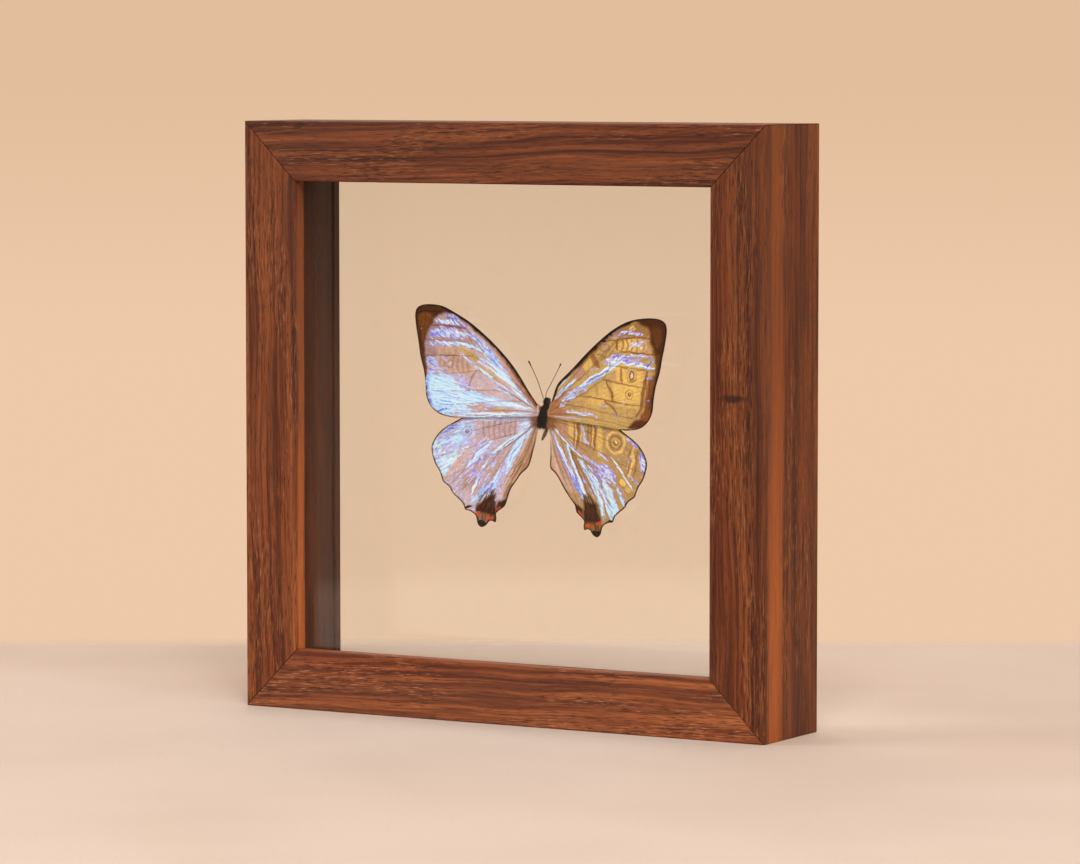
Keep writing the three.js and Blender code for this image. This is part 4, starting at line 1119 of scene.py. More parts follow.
# Each wing's marks, its ground colour, how much pearl and painted sheen lies all over it, and its veins.
# The left wings' pink-tan ground and greater haze are painted sheen from the light they catch; the
# right wings keep ochre and honey grounds and little pearl.
WINGS = {
    "forewing_left": (LEFT_FOREWING, "pink_tan", 0.3, FOREWING_VEINS),
    "forewing_right": (RIGHT_FOREWING, "ochre", 0.05, FOREWING_VEINS),
    "hindwing_left": (LEFT_HINDWING, "pink_tan", 0.4, HINDWING_VEINS),
    "hindwing_right": (RIGHT_HINDWING, "honey", 0.08, HINDWING_VEINS),
}
WING_STEP = 0.17
WING_FACE = 0.24  # from the wing's plane to its front face, and to its back face below
WING_BACK = 0.06
# How wide and how strong the dark line is along the rim of each kind of wing.
EDGES = {"forewing": (0.05, 0.4), "hindwing": (0.2, 0.95)}
EDGE_BROWN = tone(38, 18, 8)
VEIN_BROWN = tone(104, 62, 36)
VEIN_SHEEN = tone(120, 110, 190)
VEIN_HEIGHT = 0.1
FOLD_HEIGHT = 0.09


def wing_outline(name):
    kind, side = name.split("_")
    if kind == "forewing":
        points = FOREWING_BASE[side] + FOREWING_RIM
    else:
        points = HINDWING_RIM + HINDWING_BASE[side]
    return through(points, 5, closed=True)


# A square net of points over the wing whose rim points are drawn onto the outline. It gives the
# points, across and up, and the net's faces.
def wing_net(outline):
    low, high = outline.min(axis=0) - WING_STEP, outline.max(axis=0) + WING_STEP
    columns, rows = np.ceil((high - low) / WING_STEP).astype(int)
    across, up = np.meshgrid(np.arange(columns + 1), np.arange(rows + 1), indexing="ij")
    x, z = low[0] + WING_STEP * across, low[1] + WING_STEP * up
    middle_x, middle_z = x[:-1, :-1] + 0.5 * WING_STEP, z[:-1, :-1] + 0.5 * WING_STEP
    kept = inside(middle_x.ravel(), middle_z.ravel(), outline).reshape(middle_x.shape)
    around = np.zeros(x.shape, int)
    for right in (0, 1):
        for above in (0, 1):
            around[right:columns + right, above:rows + above] += kept
    used = around > 0
    rim = used & (around < 4)
    index = np.full(x.shape, -1)
    index[used] = np.arange(used.sum())
    x, z = x.copy(), z.copy()
    x[rim], z[rim] = drawn_to(x[rim], z[rim], outline)
    corners = [index[:-1, :-1], index[1:, :-1], index[1:, 1:], index[:-1, 1:]]
    faces = np.stack([corner[kept] for corner in corners], axis=1)
    return x[used], z[used], faces


def drawn_to(x, z, outline):
    best = np.full(len(x), 1e9)
    new_x, new_z = x.copy(), z.copy()
    for start, end in zip(outline, np.roll(outline, -1, axis=0)):
        run = end - start
        passed = (x - start[0]) * run[0] + (z - start[1]) * run[1]
        share = np.clip(passed / max(run @ run, 1e-12), 0, 1)
        to_x, to_z = start[0] + share * run[0], start[1] + share * run[1]
        distance = np.hypot(x - to_x, z - to_z)
        closer = distance < best
        best[closer] = distance[closer]
        new_x[closer], new_z[closer] = to_x[closer], to_z[closer]
    return new_x, new_z


# Edges that only one face has, turned so that the rim's wall faces out.
def open_edges(faces):
    edges = np.concatenate([faces[:, [k, (k + 1) % 4]] for k in range(4)])
    seen = {tuple(edge) for edge in edges.tolist()}
    return [edge for edge in seen if edge[::-1] not in seen]


def make_object(name, points, faces, matrix, material):
    mesh = bpy.data.meshes.new(name)
    placed = np.array(points) @ np.array(matrix.to_3x3()).T + np.array(matrix.translation)
    mesh.from_pydata((placed * MM).tolist(), [], faces)
    mesh.validate()
    mesh.shade_smooth()
    mesh.materials.append(material)
    made = bpy.data.objects.new(name, mesh)
    bpy.context.scene.collection.objects.link(made)
    return made


def add_field(mesh, name, values):
    kind = "FLOAT_COLOR" if values.ndim == 2 else "FLOAT"
    layer = mesh.attributes.new(name, kind, "POINT")
    layer.data.foreach_set("color" if values.ndim == 2 else "value", values.astype(np.float32).ravel())


def fit_for(piece, *nodes, slot):
    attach(piece, "root")
    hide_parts(*nodes)


def placed_at(place, turn):
    return Matrix.Translation(place) @ Matrix.Rotation(math.radians(turn), 4, "Y")


def specimen_matrix():
    return placed_at(SPECIMEN_AT, SPECIMEN_TURN)


def wing_matrix(name):
    kind, word = name.split("_")
    lift = FOREWING_LIFT if kind == "forewing" else 0
    rise = Matrix.Rotation(-SIDES[word] * math.radians(DIHEDRAL), 4, "Z")
    return specimen_matrix() @ Matrix.Translation((0, -lift, 0)) @ rise


def blended(colours, colour, share):
    return colours * (1 - share[:, None]) + np.array(colour) * share[:, None]


# Paints the marks in order. It gives each point's ground colour, its pearly colour, and how much of
# that lies over the ground.
def painted(x, z, marks, ground, sheen_haze, seed):
    def wandered(values, own_seed):
        broad = 0.45 * (blotches(x, z, 1.7, own_seed) - 0.5)
        return values + broad + 0.24 * (blotches(x, z, 0.6, own_seed + 7) - 0.5)

    wander_x, wander_z = wandered(x, seed), wandered(z, seed + 1)
    colour = np.tile(GROUNDS[ground], (len(x), 1))
    gloss = np.tile(PEARLS["lavender"], (len(x), 1))
    pearl_and_sheen = np.full(len(x), sheen_haze)
    for name, cover in marks:
        share = cover(wander_x, wander_z)
        if name in PEARLS:
            gloss = blended(gloss, PEARLS[name], smooth(share, 0, 0.5))
            pearl_and_sheen += (1 - pearl_and_sheen) * share
        else:
            colour = blended(colour, GROUNDS[name], share)
            pearl_and_sheen *= 1 - share
    return colour, gloss, pearl_and_sheen


# How far the veins stand out at each place, from 0 to 1. They get finer and lower towards the rim.
def vein_rise(x, z, veins):
    ribs = []
    for line in veins:
        distance, along = nearest(x, z, through(line))
        half = 0.2 - 0.07 * along
        ribs.append(np.exp(-((distance / half) ** 2)) * (1 - 0.4 * along))
    return np.max(ribs, axis=0)


# The painted marks, with a dark line along the rim and brown veins over them.
def wing_paint(name, x, z, rib, rim_distance, seed):
    marks, ground, sheen_haze, _ = WINGS[name]
    colour, gloss, pearl_and_sheen = painted(x, z, marks, ground, sheen_haze, seed)
    edge_width, edge_strength = EDGES[name.split("_")[0]]
    wave = edge_width + 0.2 * blotches(x, z, 1.4, seed + 5)
    edge = (1 - smooth(rim_distance, wave, wave + 0.22)) * smooth(np.hypot(x, z), 7, 14)
    edge *= edge_strength
    colour = blended(colour, EDGE_BROWN, edge)
    colour = blended(colour, VEIN_BROWN, 0.6 * rib)
    gloss = blended(gloss, VEIN_SHEEN, 0.5 * rib)
    pearl_and_sheen *= 1 - np.maximum(edge, 0.45 * rib)
    return colour, gloss, pearl_and_sheen


def build_wing(name, material):
    marks, veins = WINGS[name][0], WINGS[name][3]
    side = SIDES[name.split("_")[1]]
    outline = wing_outline(name)
    x, z, net = wing_net(outline)
    rib = vein_rise(x, z, veins)
    rim_distance, _ = nearest(x, z, np.vstack([outline, outline[:1]]))
    seed = 11 * len(marks)
    colour, gloss, pearl_and_sheen = wing_paint(name, x, z, rib, rim_distance, seed)

    fold = FOLD_HEIGHT * (blotches(x, z, 3.4, seed + 2) - 0.5) * smooth(rim_distance, 0, 1.5)
    front = -WING_FACE - VEIN_HEIGHT * rib - fold
    back = -WING_BACK + 0.4 * VEIN_HEIGHT * rib - fold
    points = np.concatenate([
        np.stack([side * x, front, z], axis=1),
        np.stack([side * x, back, z], axis=1),
    ])
    count = len(x)
    if side > 0:
        net = net[:, ::-1]
    walls = [(a, b, b + count, a + count) for a, b in open_edges(net)]
    faces = net[:, ::-1].tolist() + (net + count).tolist() + walls
    piece = make_object(name + "_detail", points, faces, wing_matrix(name), material)
    reach, bearing = np.hypot(x, z + 0.6), np.arctan2(z + 0.6, x)
    flow = np.stack([reach, 20 * bearing, np.full(count, 7.0 * len(name)), np.ones(count)], axis=1)
    for field, values in (("colour", colour), ("gloss", gloss), ("flow", flow), ("pearl_and_sheen", pearl_and_sheen)):
        add_field(piece.data, field, np.concatenate([values, values]))
    fit_for(piece, name, slot="wing")


# Overlapping scales over a thin skin: ground colours with pearly scales that fray into rays along
# the veins, and light that comes through from behind.
def wing_finish(settings):
    finish = Finish("wing_scales")
    ground = finish.attribute("colour")["Color"]
    gloss = finish.attribute("gloss")["Color"]
    pearl_and_sheen = finish.attribute("pearl_and_sheen")["Fac"]
    flow = finish.attribute("flow")["Vector"]
    where = finish.place()
    rays = finish.span(finish.drawn_noise(flow, (0.16, 3.2, 1.0), 3.0, 0.6), 0.32, 0.68)
    flecks = finish.span(finish.drawn_noise(flow, (0.7, 2.1, 1.0), 3.0, 0.6), 0.32, 0.68)
    grains = finish.span(finish.noise(where, 2300.0, 2.0, 0.6), 0.32, 0.68)
    clouds = finish.noise(where, 520.0, 3.0, 0.6)

    # The pearly scales, with their painted sheen, lie thick where there is most pearl and sheen. Elsewhere
    # they break up into rays and flecks.
    thick = finish.times(rays, 0.75, finish.times(pearl_and_sheen, 1.25))
    thick = finish.times(flecks, 0.6, thick)
    thick = finish.times(grains, 0.35, thick)
    shown = finish.times(finish.span(thick, 1.15, 1.75), finish.span(pearl_and_sheen, 0.0, 0.12))
    fringe = finish.mix(flecks, tone(156, 134, 226), tone(142, 188, 250))
    sheen = finish.mix(finish.span(thick, 1.3, 1.95), fringe, gloss)
    sheen = finish.mix(finish.span(flecks, 0.62, 0.95, 0.0, 0.6), sheen, settings.gleam)
    sheen = finish.mix(finish.span(rays, 0.36, 0.1, 0.0, 0.4), sheen, settings.glow)

    # The ground scales are paler in clouds, and darker in rays and in single grains.
    pale = finish.mix(1.0, ground, (1.16, 1.14, 1.1, 1), "MULTIPLY")
    warm = finish.mix(finish.span(clouds, 0.36, 0.64), ground, pale)
    for pattern, low, high, most, shade in (
        (rays, 0.6, 0.95, 0.35, tone(196, 150, 130)),
        (grains, 0.5, 0.9, 0.4, tone(214, 184, 168)),
    ):
        shaded = finish.mix(1.0, warm, shade, "MULTIPLY")
        warm = finish.mix(finish.span(pattern, low, high, 0.0, most), warm, shaded)
    coat = finish.mix(shown, warm, sheen)
    height = finish.maths("ADD", finish.times(rays, 0.8), grains)
    skin = finish.surface({
        "Base Color": coat,
        "Roughness": finish.span(shown, 0.0, 1.0, 0.66, 0.4),
        "Specular IOR Level": 0.05,
        "Normal": finish.bump(height, 0.3, 0.00008),
    })
    through_light = finish.node("BsdfTranslucent", {"Color": coat}).outputs[0]
    return finish.done(finish.blend(0.3, skin, through_light))


class SPECIMEN_OT_wings(bpy.types.Operator):
    """Build the four wings with their veins, marks and pearly scales"""

    bl_idname = "specimen.wings"
    bl_label = "Wings"

    def execute(self, context):
        material = wing_finish(context.scene.specimen_butterfly)
        for name in WINGS:
            build_wing(name, material)
        return {"FINISHED"}


def turns(sides):
    return [2 * math.pi * k / sides for k in range(sides)]


# Faces between rings of points that follow each other.
def walls_between(rings, sides, first=0):
    walls = []
    for ring in range(rings - 1):
        low = first + ring * sides
        for k in range(sides):
            following = (k + 1) % sides
            walls.append((low + k, low + following, low + sides + following, low + sides + k))
    return walls


def closed_walls(rings, sides):
    ends = [tuple(range(sides))[::-1], tuple(range((rings - 1) * sides, rings * sides))]
    return walls_between(rings, sides) + ends


# A round form along Z through (height, radius) rings from its low end to its high one.
def lofted(rings, sides, squash=1.0):
    points = [
        (radius * math.cos(turn), squash * radius * math.sin(turn), height)
        for height, radius in rings
        for turn in turns(sides)
    ]
    return points, closed_walls(len(rings), sides)


# A bent tapering tube through points, its radius given for each share of its length.
def tube(points, radius_at, sides, stretch=6):
    line = [Vector(point) for point in through_space(points, stretch)]
    last = len(line) - 1
    made = []
    side_way = Vector((0, 1, 0))
    for step, centre in enumerate(line):
        way = (line[min(step + 1, last)] - line[max(step - 1, 0)]).normalized()
        across = side_way.cross(way).normalized()
        up = way.cross(across)
        for turn in turns(sides):
            spoke = math.cos(turn) * across + math.sin(turn) * up
            made.append(tuple(centre + radius_at(step / last) * spoke))
    return made, closed_walls(len(line), sides)


def through_space(points, stretch):
    flat = through([point[:2] for point in points], stretch)
    deep = through([(point[2], 0) for point in points], stretch)
    return np.column_stack([flat, deep[:, 0]])


# Hairs as thin three-sided spikes that bend towards their droop: a root, a way and a length each.
def hairs(roots, ways, lengths, radius, droop, joints=3):
    roots, ways, lengths = np.array(roots), np.array(ways), np.array(lengths)[:, None]
    ways = ways / np.linalg.norm(ways, axis=1, keepdims=True)
    across = np.cross(ways, (0.31, 0.77, 0.55))
    across /= np.linalg.norm(across, axis=1, keepdims=True)
    beside = np.cross(ways, across)
    droop = np.array(droop)
    rings = []
    for joint in range(joints + 1):
        share = joint / joints
        centre = roots + lengths * (share * ways + 0.5 * share * share * droop)
        reach = radius * (1 - 0.88 * share)
        for turn in turns(3):
            rings.append(centre + reach * (math.cos(turn) * across + math.sin(turn) * beside))
    per_hair = 3 * (joints + 1)
    points = np.stack(rings, axis=1).reshape(-1, 3)
    faces = []
    for hair in range(len(roots)):
        faces.extend(walls_between(joints + 1, 3, hair * per_hair))
    return points, faces


def joined(*forms):
    points, faces, start = [], [], 0
    for form_points, form_faces in forms:
        points.extend(np.array(form_points).tolist())
        faces.extend(tuple(index + start for index in face) for face in form_faces)
        start += len(form_points)
    return points, faces


# A piece of two materials, the second on the faces that come last.
def two_part_object(name, first, second, matrix, materials):
    points, faces = joined(first, second)
    piece = make_object(name, points, faces, matrix, materials[0])
    piece.data.materials.append(materials[1])
    for face in piece.data.polygons[len(first[1]):]:
        face.material_index = 1
    return piece


THORAX_RINGS = (
    (-3.1, 0.6), (-2.9, 1.05), (-2.3, 1.32), (-1.2, 1.5), (0, 1.52), (1.2, 1.4), (2.2, 1.2),
    (3.0, 0.95), (3.6, 0.8), (4.1, 0.5),
)
THORAX_BACK = 1.42
LEG_STUMP = ((-0.6, -0.2, -2.5), (-0.8, -0.3, -3.3), (-0.98, -0.35, -3.9))
HEAD_AT = (0.25, 0, 4.7)
THORAX_HAIRS = 3600
ROOT_HAIRS = 760  # on each side
HEAD_HAIRS = 1300
ABDOMEN_HAIRS = 500


def radius_along(rings, height):
    heights, radii = zip(*rings)
    return np.interp(height, heights, radii)


def thorax_fur(chance, radius_of_hair):
    count = THORAX_HAIRS
    height = chance.uniform(-3.0, 3.8, count)
    angle = chance.uniform(0, 2 * math.pi, count)
    radius = radius_along(THORAX_RINGS, height) * 0.96
    backwards = np.minimum(radius * np.sin(angle), THORAX_BACK - 0.1)
    roots = np.stack([radius * np.cos(angle), backwards, height], axis=1)
    out = np.stack([np.cos(angle), np.sin(angle), np.zeros(count)], axis=1)
    ways = out + (0, 0, -0.8) + chance.normal(0, 0.35, (count, 3))
    ways[:, 1] = np.where(roots[:, 1] > 1.0, np.minimum(ways[:, 1], -0.1), ways[:, 1])
    return hairs(roots, ways, chance.uniform(0.6, 1.3, count), radius_of_hair, (0, 0, -0.5))


# Longer reddish hairs that run from the thorax's sides out over the wing roots.
def root_fur(chance, radius_of_hair):
    forms = []
    count = ROOT_HAIRS
    for side in (-1, 1):
        height = chance.uniform(-2.2, 2.4, count)
        radius = radius_along(THORAX_RINGS, height) * 0.85
        roots = np.stack([side * radius, chance.uniform(-0.9, 0.3, count), height], axis=1)
        ways = np.stack([
            np.full(count, side * 1.0),
            chance.uniform(-0.35, 0.05, count),
            0.28 * height + chance.normal(0, 0.2, count),
        ], axis=1)
        lengths = chance.uniform(1.4, 3.6, count)
        forms.append(hairs(roots, ways, lengths, 1.1 * radius_of_hair, (0, 0, -0.15)))
    return joined(*forms)


def head_fur(chance, radius_of_hair):
    ways = chance.normal(0, 1, (HEAD_HAIRS, 3))
    ways /= np.linalg.norm(ways, axis=1, keepdims=True)
    ways = ways[(np.abs(ways[:, 0]) < 0.72) | (ways[:, 2] > 0.5)]
    roots = ways * (0.92, 0.92, 0.9)
    lean = ways + (0, -0.1, 0.5) + chance.normal(0, 0.25, ways.shape)
    return hairs(roots, lean, chance.uniform(0.35, 0.8, len(ways)), radius_of_hair, (0, -0.2, 0.1))


# A ball of rings about Z, stretched along each axis and moved.
def ball(centre, radii, sides=24):
    steps = sides // 2
    tilts = [math.pi * (step + 0.5) / steps for step in range(steps)]
    points, faces = lofted([(-math.cos(tilt), math.sin(tilt)) for tilt in tilts], sides)
    return np.array(points) * radii + centre, faces


# Hair or an eye's skin: two colours that mix in patches and specks, with fine bumps.
def body_finish(name, dark, light, grain, roughness, ridge):
    finish = Finish(name)
    where = finish.place()
    drift = finish.noise(where, grain, 3.0, 0.6)
    speck = finish.noise(where, 9.0 * grain, 2.0, 0.6)
    share = finish.span(finish.times(speck, 0.4, finish.times(drift, 0.6)), 0.36, 0.64)
    return finish.done(finish.surface({
        "Base Color": finish.mix(share, dark, light),
        "Roughness": finish.span(speck, 0.3, 0.7, roughness, min(roughness + 0.2, 1.0)),
        "Specular IOR Level": 0.15,
        "Normal": finish.bump(speck, ridge, 0.00006),
    }))


class SPECIMEN_OT_trunk(bpy.types.Operator):
    """Build the furry thorax and the head with its eyes and palps"""

    bl_idname = "specimen.trunk"
    bl_label = "Thorax and Head"

    def execute(self, context):
        chance = np.random.default_rng(5)
        matrix = specimen_matrix() @ placed_at(BODY_AT, BODY_TURN)
        settings = context.scene.specimen_butterfly
        fur = body_finish("black_fur", settings.fur_dark, settings.fur_light, 1400.0, 0.5, 0.5)
        red_fur = body_finish("root_fur", settings.red_dark, settings.red_light, 1100.0, 0.6, 0.4)
        hair_radius = 0.5 * settings.hair_width / MM
        eye = body_finish("compound_eye", tone(26, 18, 14), tone(70, 52, 40), 3200.0, 0.28, 0.6)
        self.thorax(matrix, chance, (fur, red_fur), hair_radius)
        self.head(matrix @ Matrix.Translation(HEAD_AT), chance, (fur, eye), hair_radius)
        return {"FINISHED"}

    def thorax(self, matrix, chance, materials, hair_radius):
        points, faces = lofted(THORAX_RINGS, 40)
        core = np.array(points)
        lumps = blotches(core[:, 0] * 3, core[:, 2] + core[:, 1], 0.8, 3) - 0.5
        core[:, :2] *= 1 + 0.08 * lumps[:, None]
        core[:, 1] = np.minimum(core[:, 1], THORAX_BACK)
        leg = tube(LEG_STUMP, lambda share: 0.2 - 0.07 * share, 9)
        dark = joined((core, faces), leg, thorax_fur(chance, hair_radius))
        red = root_fur(chance, hair_radius)
        piece = two_part_object("thorax_detail", dark, red, matrix, materials)
        fit_for(piece, "thorax", slot="body_hair")

    def head(self, matrix, chance, materials, hair_radius):
        skull = ball((0, 0, 0), (0.98, 0.96, 0.96))
        palps = [ball((0.28 * side, -0.34, 0.95), (0.17, 0.22, 0.5), 16) for side in (-1, 1)]
        dark = joined(skull, *palps, head_fur(chance, 0.8 * hair_radius))
        eyes = joined(*(ball((0.62 * side, -0.2, 0.05), (0.5, 0.66, 0.72), 28) for side in (-1, 1)))
        piece = two_part_object("head_detail", dark, eyes, matrix, materials)
        fit_for(piece, "head", slot="body_hair")


# Where the abdomen hangs from, how it leans, and its size.
ABDOMEN_AT = (0.35, 0.8, -4.8)
ABDOMEN_TURN = 25
ABDOMEN_LENGTH = 4.1
ABDOMEN_RADIUS = 0.56
ABDOMEN_SQUASH = 0.85
ABDOMEN_SEGMENTS = 7
ABDOMEN_STEPS = 72


class SPECIMEN_OT_abdomen(bpy.types.Operator):
    """Build the shrunken abdomen with its rings"""

    bl_idname = "specimen.abdomen"
    bl_label = "Abdomen"

    def execute(self, context):
        rings = self.rings()
        points, faces = lofted(rings, 28, ABDOMEN_SQUASH)
        points = np.array(points)
        shrivel = blotches(4 * np.arctan2(points[:, 1], points[:, 0]), points[:, 2] * 0.6, 0.7, 8) - 0.5
        points[:, :2] *= 1 + 0.12 * shrivel[:, None]
        points, faces = joined((points, faces), self.fuzz(rings))
        matrix = specimen_matrix() @ placed_at(ABDOMEN_AT, ABDOMEN_TURN)
        piece = make_object("abdomen_detail", points, faces, matrix, self.skin())
        right, _, height = np.array(points).T
        # Darker at the tip and along the left side.
        dark = smooth(height, -2.9, -3.7) + 0.75 * smooth(-right, 0.16, 0.42)
        add_field(piece.data, "tip", dark)
        fit_for(piece, "abdomen", slot="dry_skin")
        return {"FINISHED"}

    def rings(self):
        rings = []
        for step in range(1, ABDOMEN_STEPS):
            share = step / ABDOMEN_STEPS
            segment = (ABDOMEN_SEGMENTS * share) % 1
            swell = 1 - 0.16 * math.exp(-((min(segment, 1 - segment) / 0.14) ** 2))
            radius = ABDOMEN_RADIUS * swell * math.sin(math.pi * (0.08 + 0.7 * share)) + 0.01
            rings.append((-ABDOMEN_LENGTH * (1 - share), radius))
        return rings

    def fuzz(self, rings):
        chance = np.random.default_rng(9)
        count = ABDOMEN_HAIRS
        height, angle = chance.uniform(-3.9, -0.1, count), chance.uniform(0, 2 * math.pi, count)
        radius = radius_along(rings, height)
        right, back = np.cos(angle), np.sin(angle)
        roots = np.stack([radius * right, ABDOMEN_SQUASH * radius * back, height], axis=1)
        out = np.stack([right, back, np.full(count, -1.1)], axis=1)
        ways = out + chance.normal(0, 0.2, (count, 3))
        return hairs(roots, ways, chance.uniform(0.15, 0.32, count), 0.012, (0, 0, -0.3), 2)

    def skin(self):
        finish = Finish("dry_skin")
        where = finish.place()
        mottle = finish.noise(where, 1700.0, 3.0, 0.6)
        olive = finish.ramp(
            mottle, (0.3, tone(58, 46, 22)), (0.55, tone(98, 80, 42)), (0.75, tone(140, 116, 70))
        )
        dark = finish.maths("MULTIPLY", finish.attribute("tip")["Fac"], 0.9, clamp=True)
        return finish.done(finish.surface({
            "Base Color": finish.mix(dark, olive, tone(26, 19, 14)),
            "Roughness": 0.6,
            "Normal": finish.bump(mottle, 0.5, 0.00008),
        }))


ANTENNAE = {
    "left": ((-0.3, -0.85, 4.4), (-1.85, -1.25, 8.8), (-3.6, -1.8, 12.8), (-5.2, -2, 15.6)),
    "right": ((0.45, -0.85, 4.8), (0.9, -1, 6.5), (2.3, -1.2, 8.9), (5.45, -1.9, 14.1), (6.1, -2, 15.4)),
}
ANTENNA_RADIUS = 0.105
CLUB_SWELL = 0.125  # how much thicker the club is
ANTENNA_RINGS = 46
ANTENNA_SIDES = 12
ANTENNA_STEPS = 150


class SPECIMEN_OT_antennae(bpy.types.Operator):
    """Build the two ringed antennae with their clubs"""

    bl_idname = "specimen.antennae"
    bl_label = "Antennae"

    def execute(self, context):
        material = self.finish()
        for word, points in ANTENNAE.items():
            stretch = ANTENNA_STEPS // (len(points) - 1)
            form = tube(points, self.radius, ANTENNA_SIDES, stretch)
            piece = make_object(f"antenna_{word}_detail", *form, specimen_matrix(), material)
            share = np.repeat(np.linspace(0, 1, len(form[0]) // ANTENNA_SIDES), ANTENNA_SIDES)
            add_field(piece.data, "along", share)
            fit_for(piece, f"antenna_{word}", slot="body_hair")
        return {"FINISHED"}

    def radius(self, share):
        club = smooth(np.array(share), 0.72, 0.9) * (1 - 0.55 * smooth(np.array(share), 0.96, 1.0))
        ring = 1 + 0.09 * math.cos(2 * math.pi * ANTENNA_RINGS * share)
        return float((ANTENNA_RADIUS + CLUB_SWELL * club) * ring)

    def finish(self):
        finish = Finish("antenna_rings")
        along = finish.attribute("along")["Fac"]
        ring = finish.maths("SINE", finish.times(along, 2 * math.pi * ANTENNA_RINGS))
        shaft = finish.mix(finish.span(ring, -0.2, 0.8), tone(40, 20, 10), tone(74, 42, 22))
        colour = finish.mix(finish.span(along, 0.70, 0.80), shaft, tone(24, 16, 12))
        speck = finish.noise(finish.place(), 6000.0, 2.0)
        return finish.done(finish.surface({
            "Base Color": finish.mix(finish.span(speck, 0.3, 0.7, 0.0, 0.3), colour, tone(74, 54, 40)),
            "Roughness": 0.5,
            "Normal": finish.bump(speck, 0.4, 0.00004),
        }))


GLUE_FRONT = 1.62  # from the specimen's plane back to the dab's two faces
GLUE_BACK = 2.28
GLUE_STEPS = 12


class SPECIMEN_OT_glue(bpy.types.Operator):
    """Build the uneven dab of clear glue behind the thorax"""

    bl_idname = "specimen.glue"
    bl_label = "Glue Dab"

    def execute(self, context):
        rings = []
        for step in range(GLUE_STEPS + 1):
            share = step / GLUE_STEPS
            bulge = math.sin(math.pi * min(max(share, 0.04), 0.96)) ** 0.35
            rings.append((share, (1.0 + 0.45 * share) * (0.82 + 0.18 * bulge)))
        points, faces = lofted(rings, 40)
        points = np.array(points)
        angle = np.arctan2(points[:, 1], points[:, 0])
        reach = 1 + 0.05 * np.sin(3 * angle + 0.6) + 0.03 * np.sin(5 * angle)
        placed = np.stack([
            BODY_AT[0] + reach * points[:, 0],
            GLUE_FRONT + (GLUE_BACK - GLUE_FRONT) * points[:, 2],
            BODY_AT[2] - reach * points[:, 1],
        ], axis=1)
        piece = make_object("glue_detail", placed, faces, specimen_matrix(), self.finish())
        fit_for(piece, "glue_dab", slot="glue")
        return {"FINISHED"}

    def finish(self):
        finish = Finish("clear_glue")
        bubbles = finish.noise(finish.place(), 2600.0, 2.0)
        cloud = finish.span(bubbles, 0.4, 0.7)
        return finish.done(finish.surface({
            "Base Color": finish.mix(cloud, tone(240, 232, 210), tone(222, 208, 176)),
            "Roughness": 0.12,
            "IOR": 1.48,
            "Transmission Weight": 0.8,
            "Normal": finish.bump(bubbles, 0.2, 0.0001),
        }))


# Each lamp's place, the point it faces, its size in metres, its power in watts and its colour.
LAMPS = {
    "lamp_right": ((1.2, -0.9, 0.85), (0, 0, 0.08), (1.2, 1.2), 15.0, (1.0, 0.95, 0.88)),
    "lamp_left": ((-1.1, -0.8, 0.7), (0, 0, 0.08), (0.8, 1.0), 11.0, (1.0, 0.96, 0.9)),
    "lamp_back": ((-0.35, 0.95, 1.0), (0, 0.12, 0), (1.4, 0.9), 5.0, (1.0, 0.95, 0.88)),
    "lamp_top": ((0.45, -0.75, 1.25), (0, 0, 0.08), (0.35, 0.35), 8.0, (1.0, 0.96, 0.9)),
}
FLOOR_RADIUS = 0.5
FLOOR_SIDES = 96
# Where the floor fades away, behind the frame and all round it, in metres from its middle.
FADE_BEHIND = (0.18, 0.215)
FADE_ROUND = (0.36, 0.48)


def lamp(name, place, aim, size, power, colour):
    light = bpy.data.lights.new(name, "AREA")
    light.shape = "RECTANGLE"
    light.size, light.size_y = size
    light.energy = power
    light.color = colour
    made = bpy.data.objects.new(name, light)
    made.location = place
    made.rotation_euler = (Vector(aim) - Vector(place)).to_track_quat("-Z", "Y").to_euler()
    bpy.context.scene.collection.objects.link(made)


def floor_finish(settings):
    finish = Finish("pale_floor")
    where = finish.place()
    grain = finish.noise(where, 900.0, 3.0, 0.6)
    cloud = finish.noise(where, 9.0, 2.0)
    colour = finish.mix(finish.span(cloud, 0.35, 0.7), settings.floor_colour, tone(204, 190, 182))
    matte = finish.surface({
        "Base Color": finish.mix(finish.span(grain, 0.3, 0.7, 0.0, 0.25), colour, tone(192, 174, 162)),
        "Roughness": 0.75,
        "Specular IOR Level": 0.25,
        "Normal": finish.bump(grain, 0.15, 0.0002),
    })
    reach = finish.node("VectorMath", {0: where}, operation="LENGTH").outputs["Value"]
    open_air = finish.node("BsdfTransparent").outputs[0]
    away = (-math.sin(settings.azimuth), math.cos(settings.azimuth), 0)
    behind = finish.node("VectorMath", {0: where, 1: away}, operation="DOT_PRODUCT").outputs["Value"]
    fade = finish.maths("MAXIMUM", finish.span(behind, *FADE_BEHIND), finish.span(reach, *FADE_ROUND))
    return finish.done(finish.blend(fade, matte, open_air))


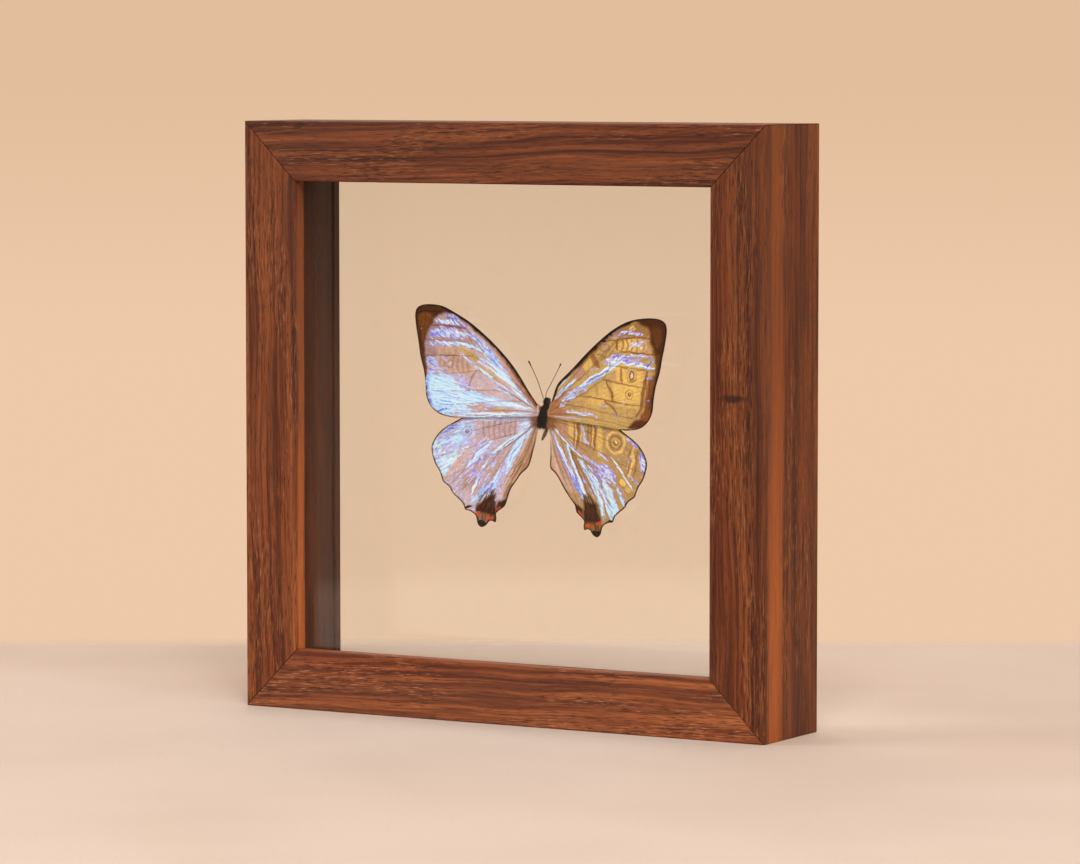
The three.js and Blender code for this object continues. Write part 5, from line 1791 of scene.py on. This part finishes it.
class SPECIMEN_OT_stage(bpy.types.Operator):
    """Set up the floor, the background, the lamps and the camera"""

    bl_idname = "specimen.stage"
    bl_label = "Stage"

    def execute(self, context):
        settings = context.scene.specimen_stage
        self.floor(settings)
        self.background(context.scene, settings)
        for name, facts in LAMPS.items():
            lamp(name, *facts)
        self.camera(context.scene, settings)
        context.scene.view_settings.view_transform = "Standard"
        return {"FINISHED"}

    def floor(self, settings):
        mesh = bpy.data.meshes.new("floor")
        ring = [
            (FLOOR_RADIUS * math.cos(turn), FLOOR_RADIUS * math.sin(turn), 0)
            for turn in turns(FLOOR_SIDES)
        ]
        mesh.from_pydata(ring, [], [tuple(range(FLOOR_SIDES))])
        mesh.materials.append(floor_finish(settings))
        made = bpy.data.objects.new("floor", mesh)
        bpy.context.scene.collection.objects.link(made)

    # A soft room in front of the frame, darker below, and a plain wall behind it.
    def background(self, scene, settings):
        finish = Finish("soft_room", "worlds")
        axes = finish.node("SeparateXYZ", {0: finish.node("TexCoord").outputs["Generated"]}).outputs
        room_rise = finish.span(axes["Z"], -0.16, 0.04)
        room = finish.mix(room_rise, settings.table_colour, settings.room_colour)
        wall_rise = finish.span(axes["Z"], -0.06, 0.0)
        wall = finish.mix(wall_rise, settings.low_colour, settings.far_colour)
        glow = finish.mix(finish.span(axes["Y"], -0.75, 0.55), room, wall)
        light = finish.node("Background", {"Color": glow, "Strength": 1.0}).outputs[0]
        scene.world = finish.done(light, "OutputWorld")

    def camera(self, scene, settings):
        level = math.cos(settings.elevation)
        back = Vector((
            math.sin(settings.azimuth) * level,
            -math.cos(settings.azimuth) * level,
            math.sin(settings.elevation),
        ))
        data = bpy.data.cameras.new("camera")
        data.lens = settings.lens
        data.sensor_width = 36
        made = bpy.data.objects.new("camera", data)
        made.location = Vector(settings.aim) + settings.distance * back
        made.rotation_euler = (-back).to_track_quat("-Z", "Y").to_euler()
        scene.collection.objects.link(made)
        scene.camera = made


OPERATORS = (
    SPECIMEN_OT_rails,
    SPECIMEN_OT_strips,
    SPECIMEN_OT_panes,
    SPECIMEN_OT_wings,
    SPECIMEN_OT_trunk,
    SPECIMEN_OT_abdomen,
    SPECIMEN_OT_antennae,
    SPECIMEN_OT_glue,
    SPECIMEN_OT_stage,
)


class SPECIMEN_PT_panel(bpy.types.Panel):
    """Lists the pieces of the specimen in the order they are built"""

    bl_idname = "SPECIMEN_PT_panel"
    bl_label = "Framed Butterfly Specimen"
    bl_space_type = "VIEW_3D"
    bl_region_type = "UI"
    bl_category = "Specimen"

    def draw(self, context):
        column = self.layout.column(align=True)
        for operator in OPERATORS:
            column.operator(operator.bl_idname)


SETTINGS = (SpecimenFrameSettings, SpecimenButterflySettings, SpecimenStageSettings)


def register():
    for kind in SETTINGS + OPERATORS + (SPECIMEN_PT_panel,):
        bpy.utils.register_class(kind)
    bpy.types.Scene.specimen_frame = bpy.props.PointerProperty(type=SpecimenFrameSettings)
    bpy.types.Scene.specimen_butterfly = bpy.props.PointerProperty(type=SpecimenButterflySettings)
    bpy.types.Scene.specimen_stage = bpy.props.PointerProperty(type=SpecimenStageSettings)


def unregister():
    del bpy.types.Scene.specimen_stage
    del bpy.types.Scene.specimen_butterfly
    del bpy.types.Scene.specimen_frame
    for kind in reversed(SETTINGS + OPERATORS + (SPECIMEN_PT_panel,)):
        bpy.utils.unregister_class(kind)


def main():
    register()
    for operator in OPERATORS:
        group, name = operator.bl_idname.split(".")
        getattr(getattr(bpy.ops, group), name)()


if __name__ == "__main__":
    main()
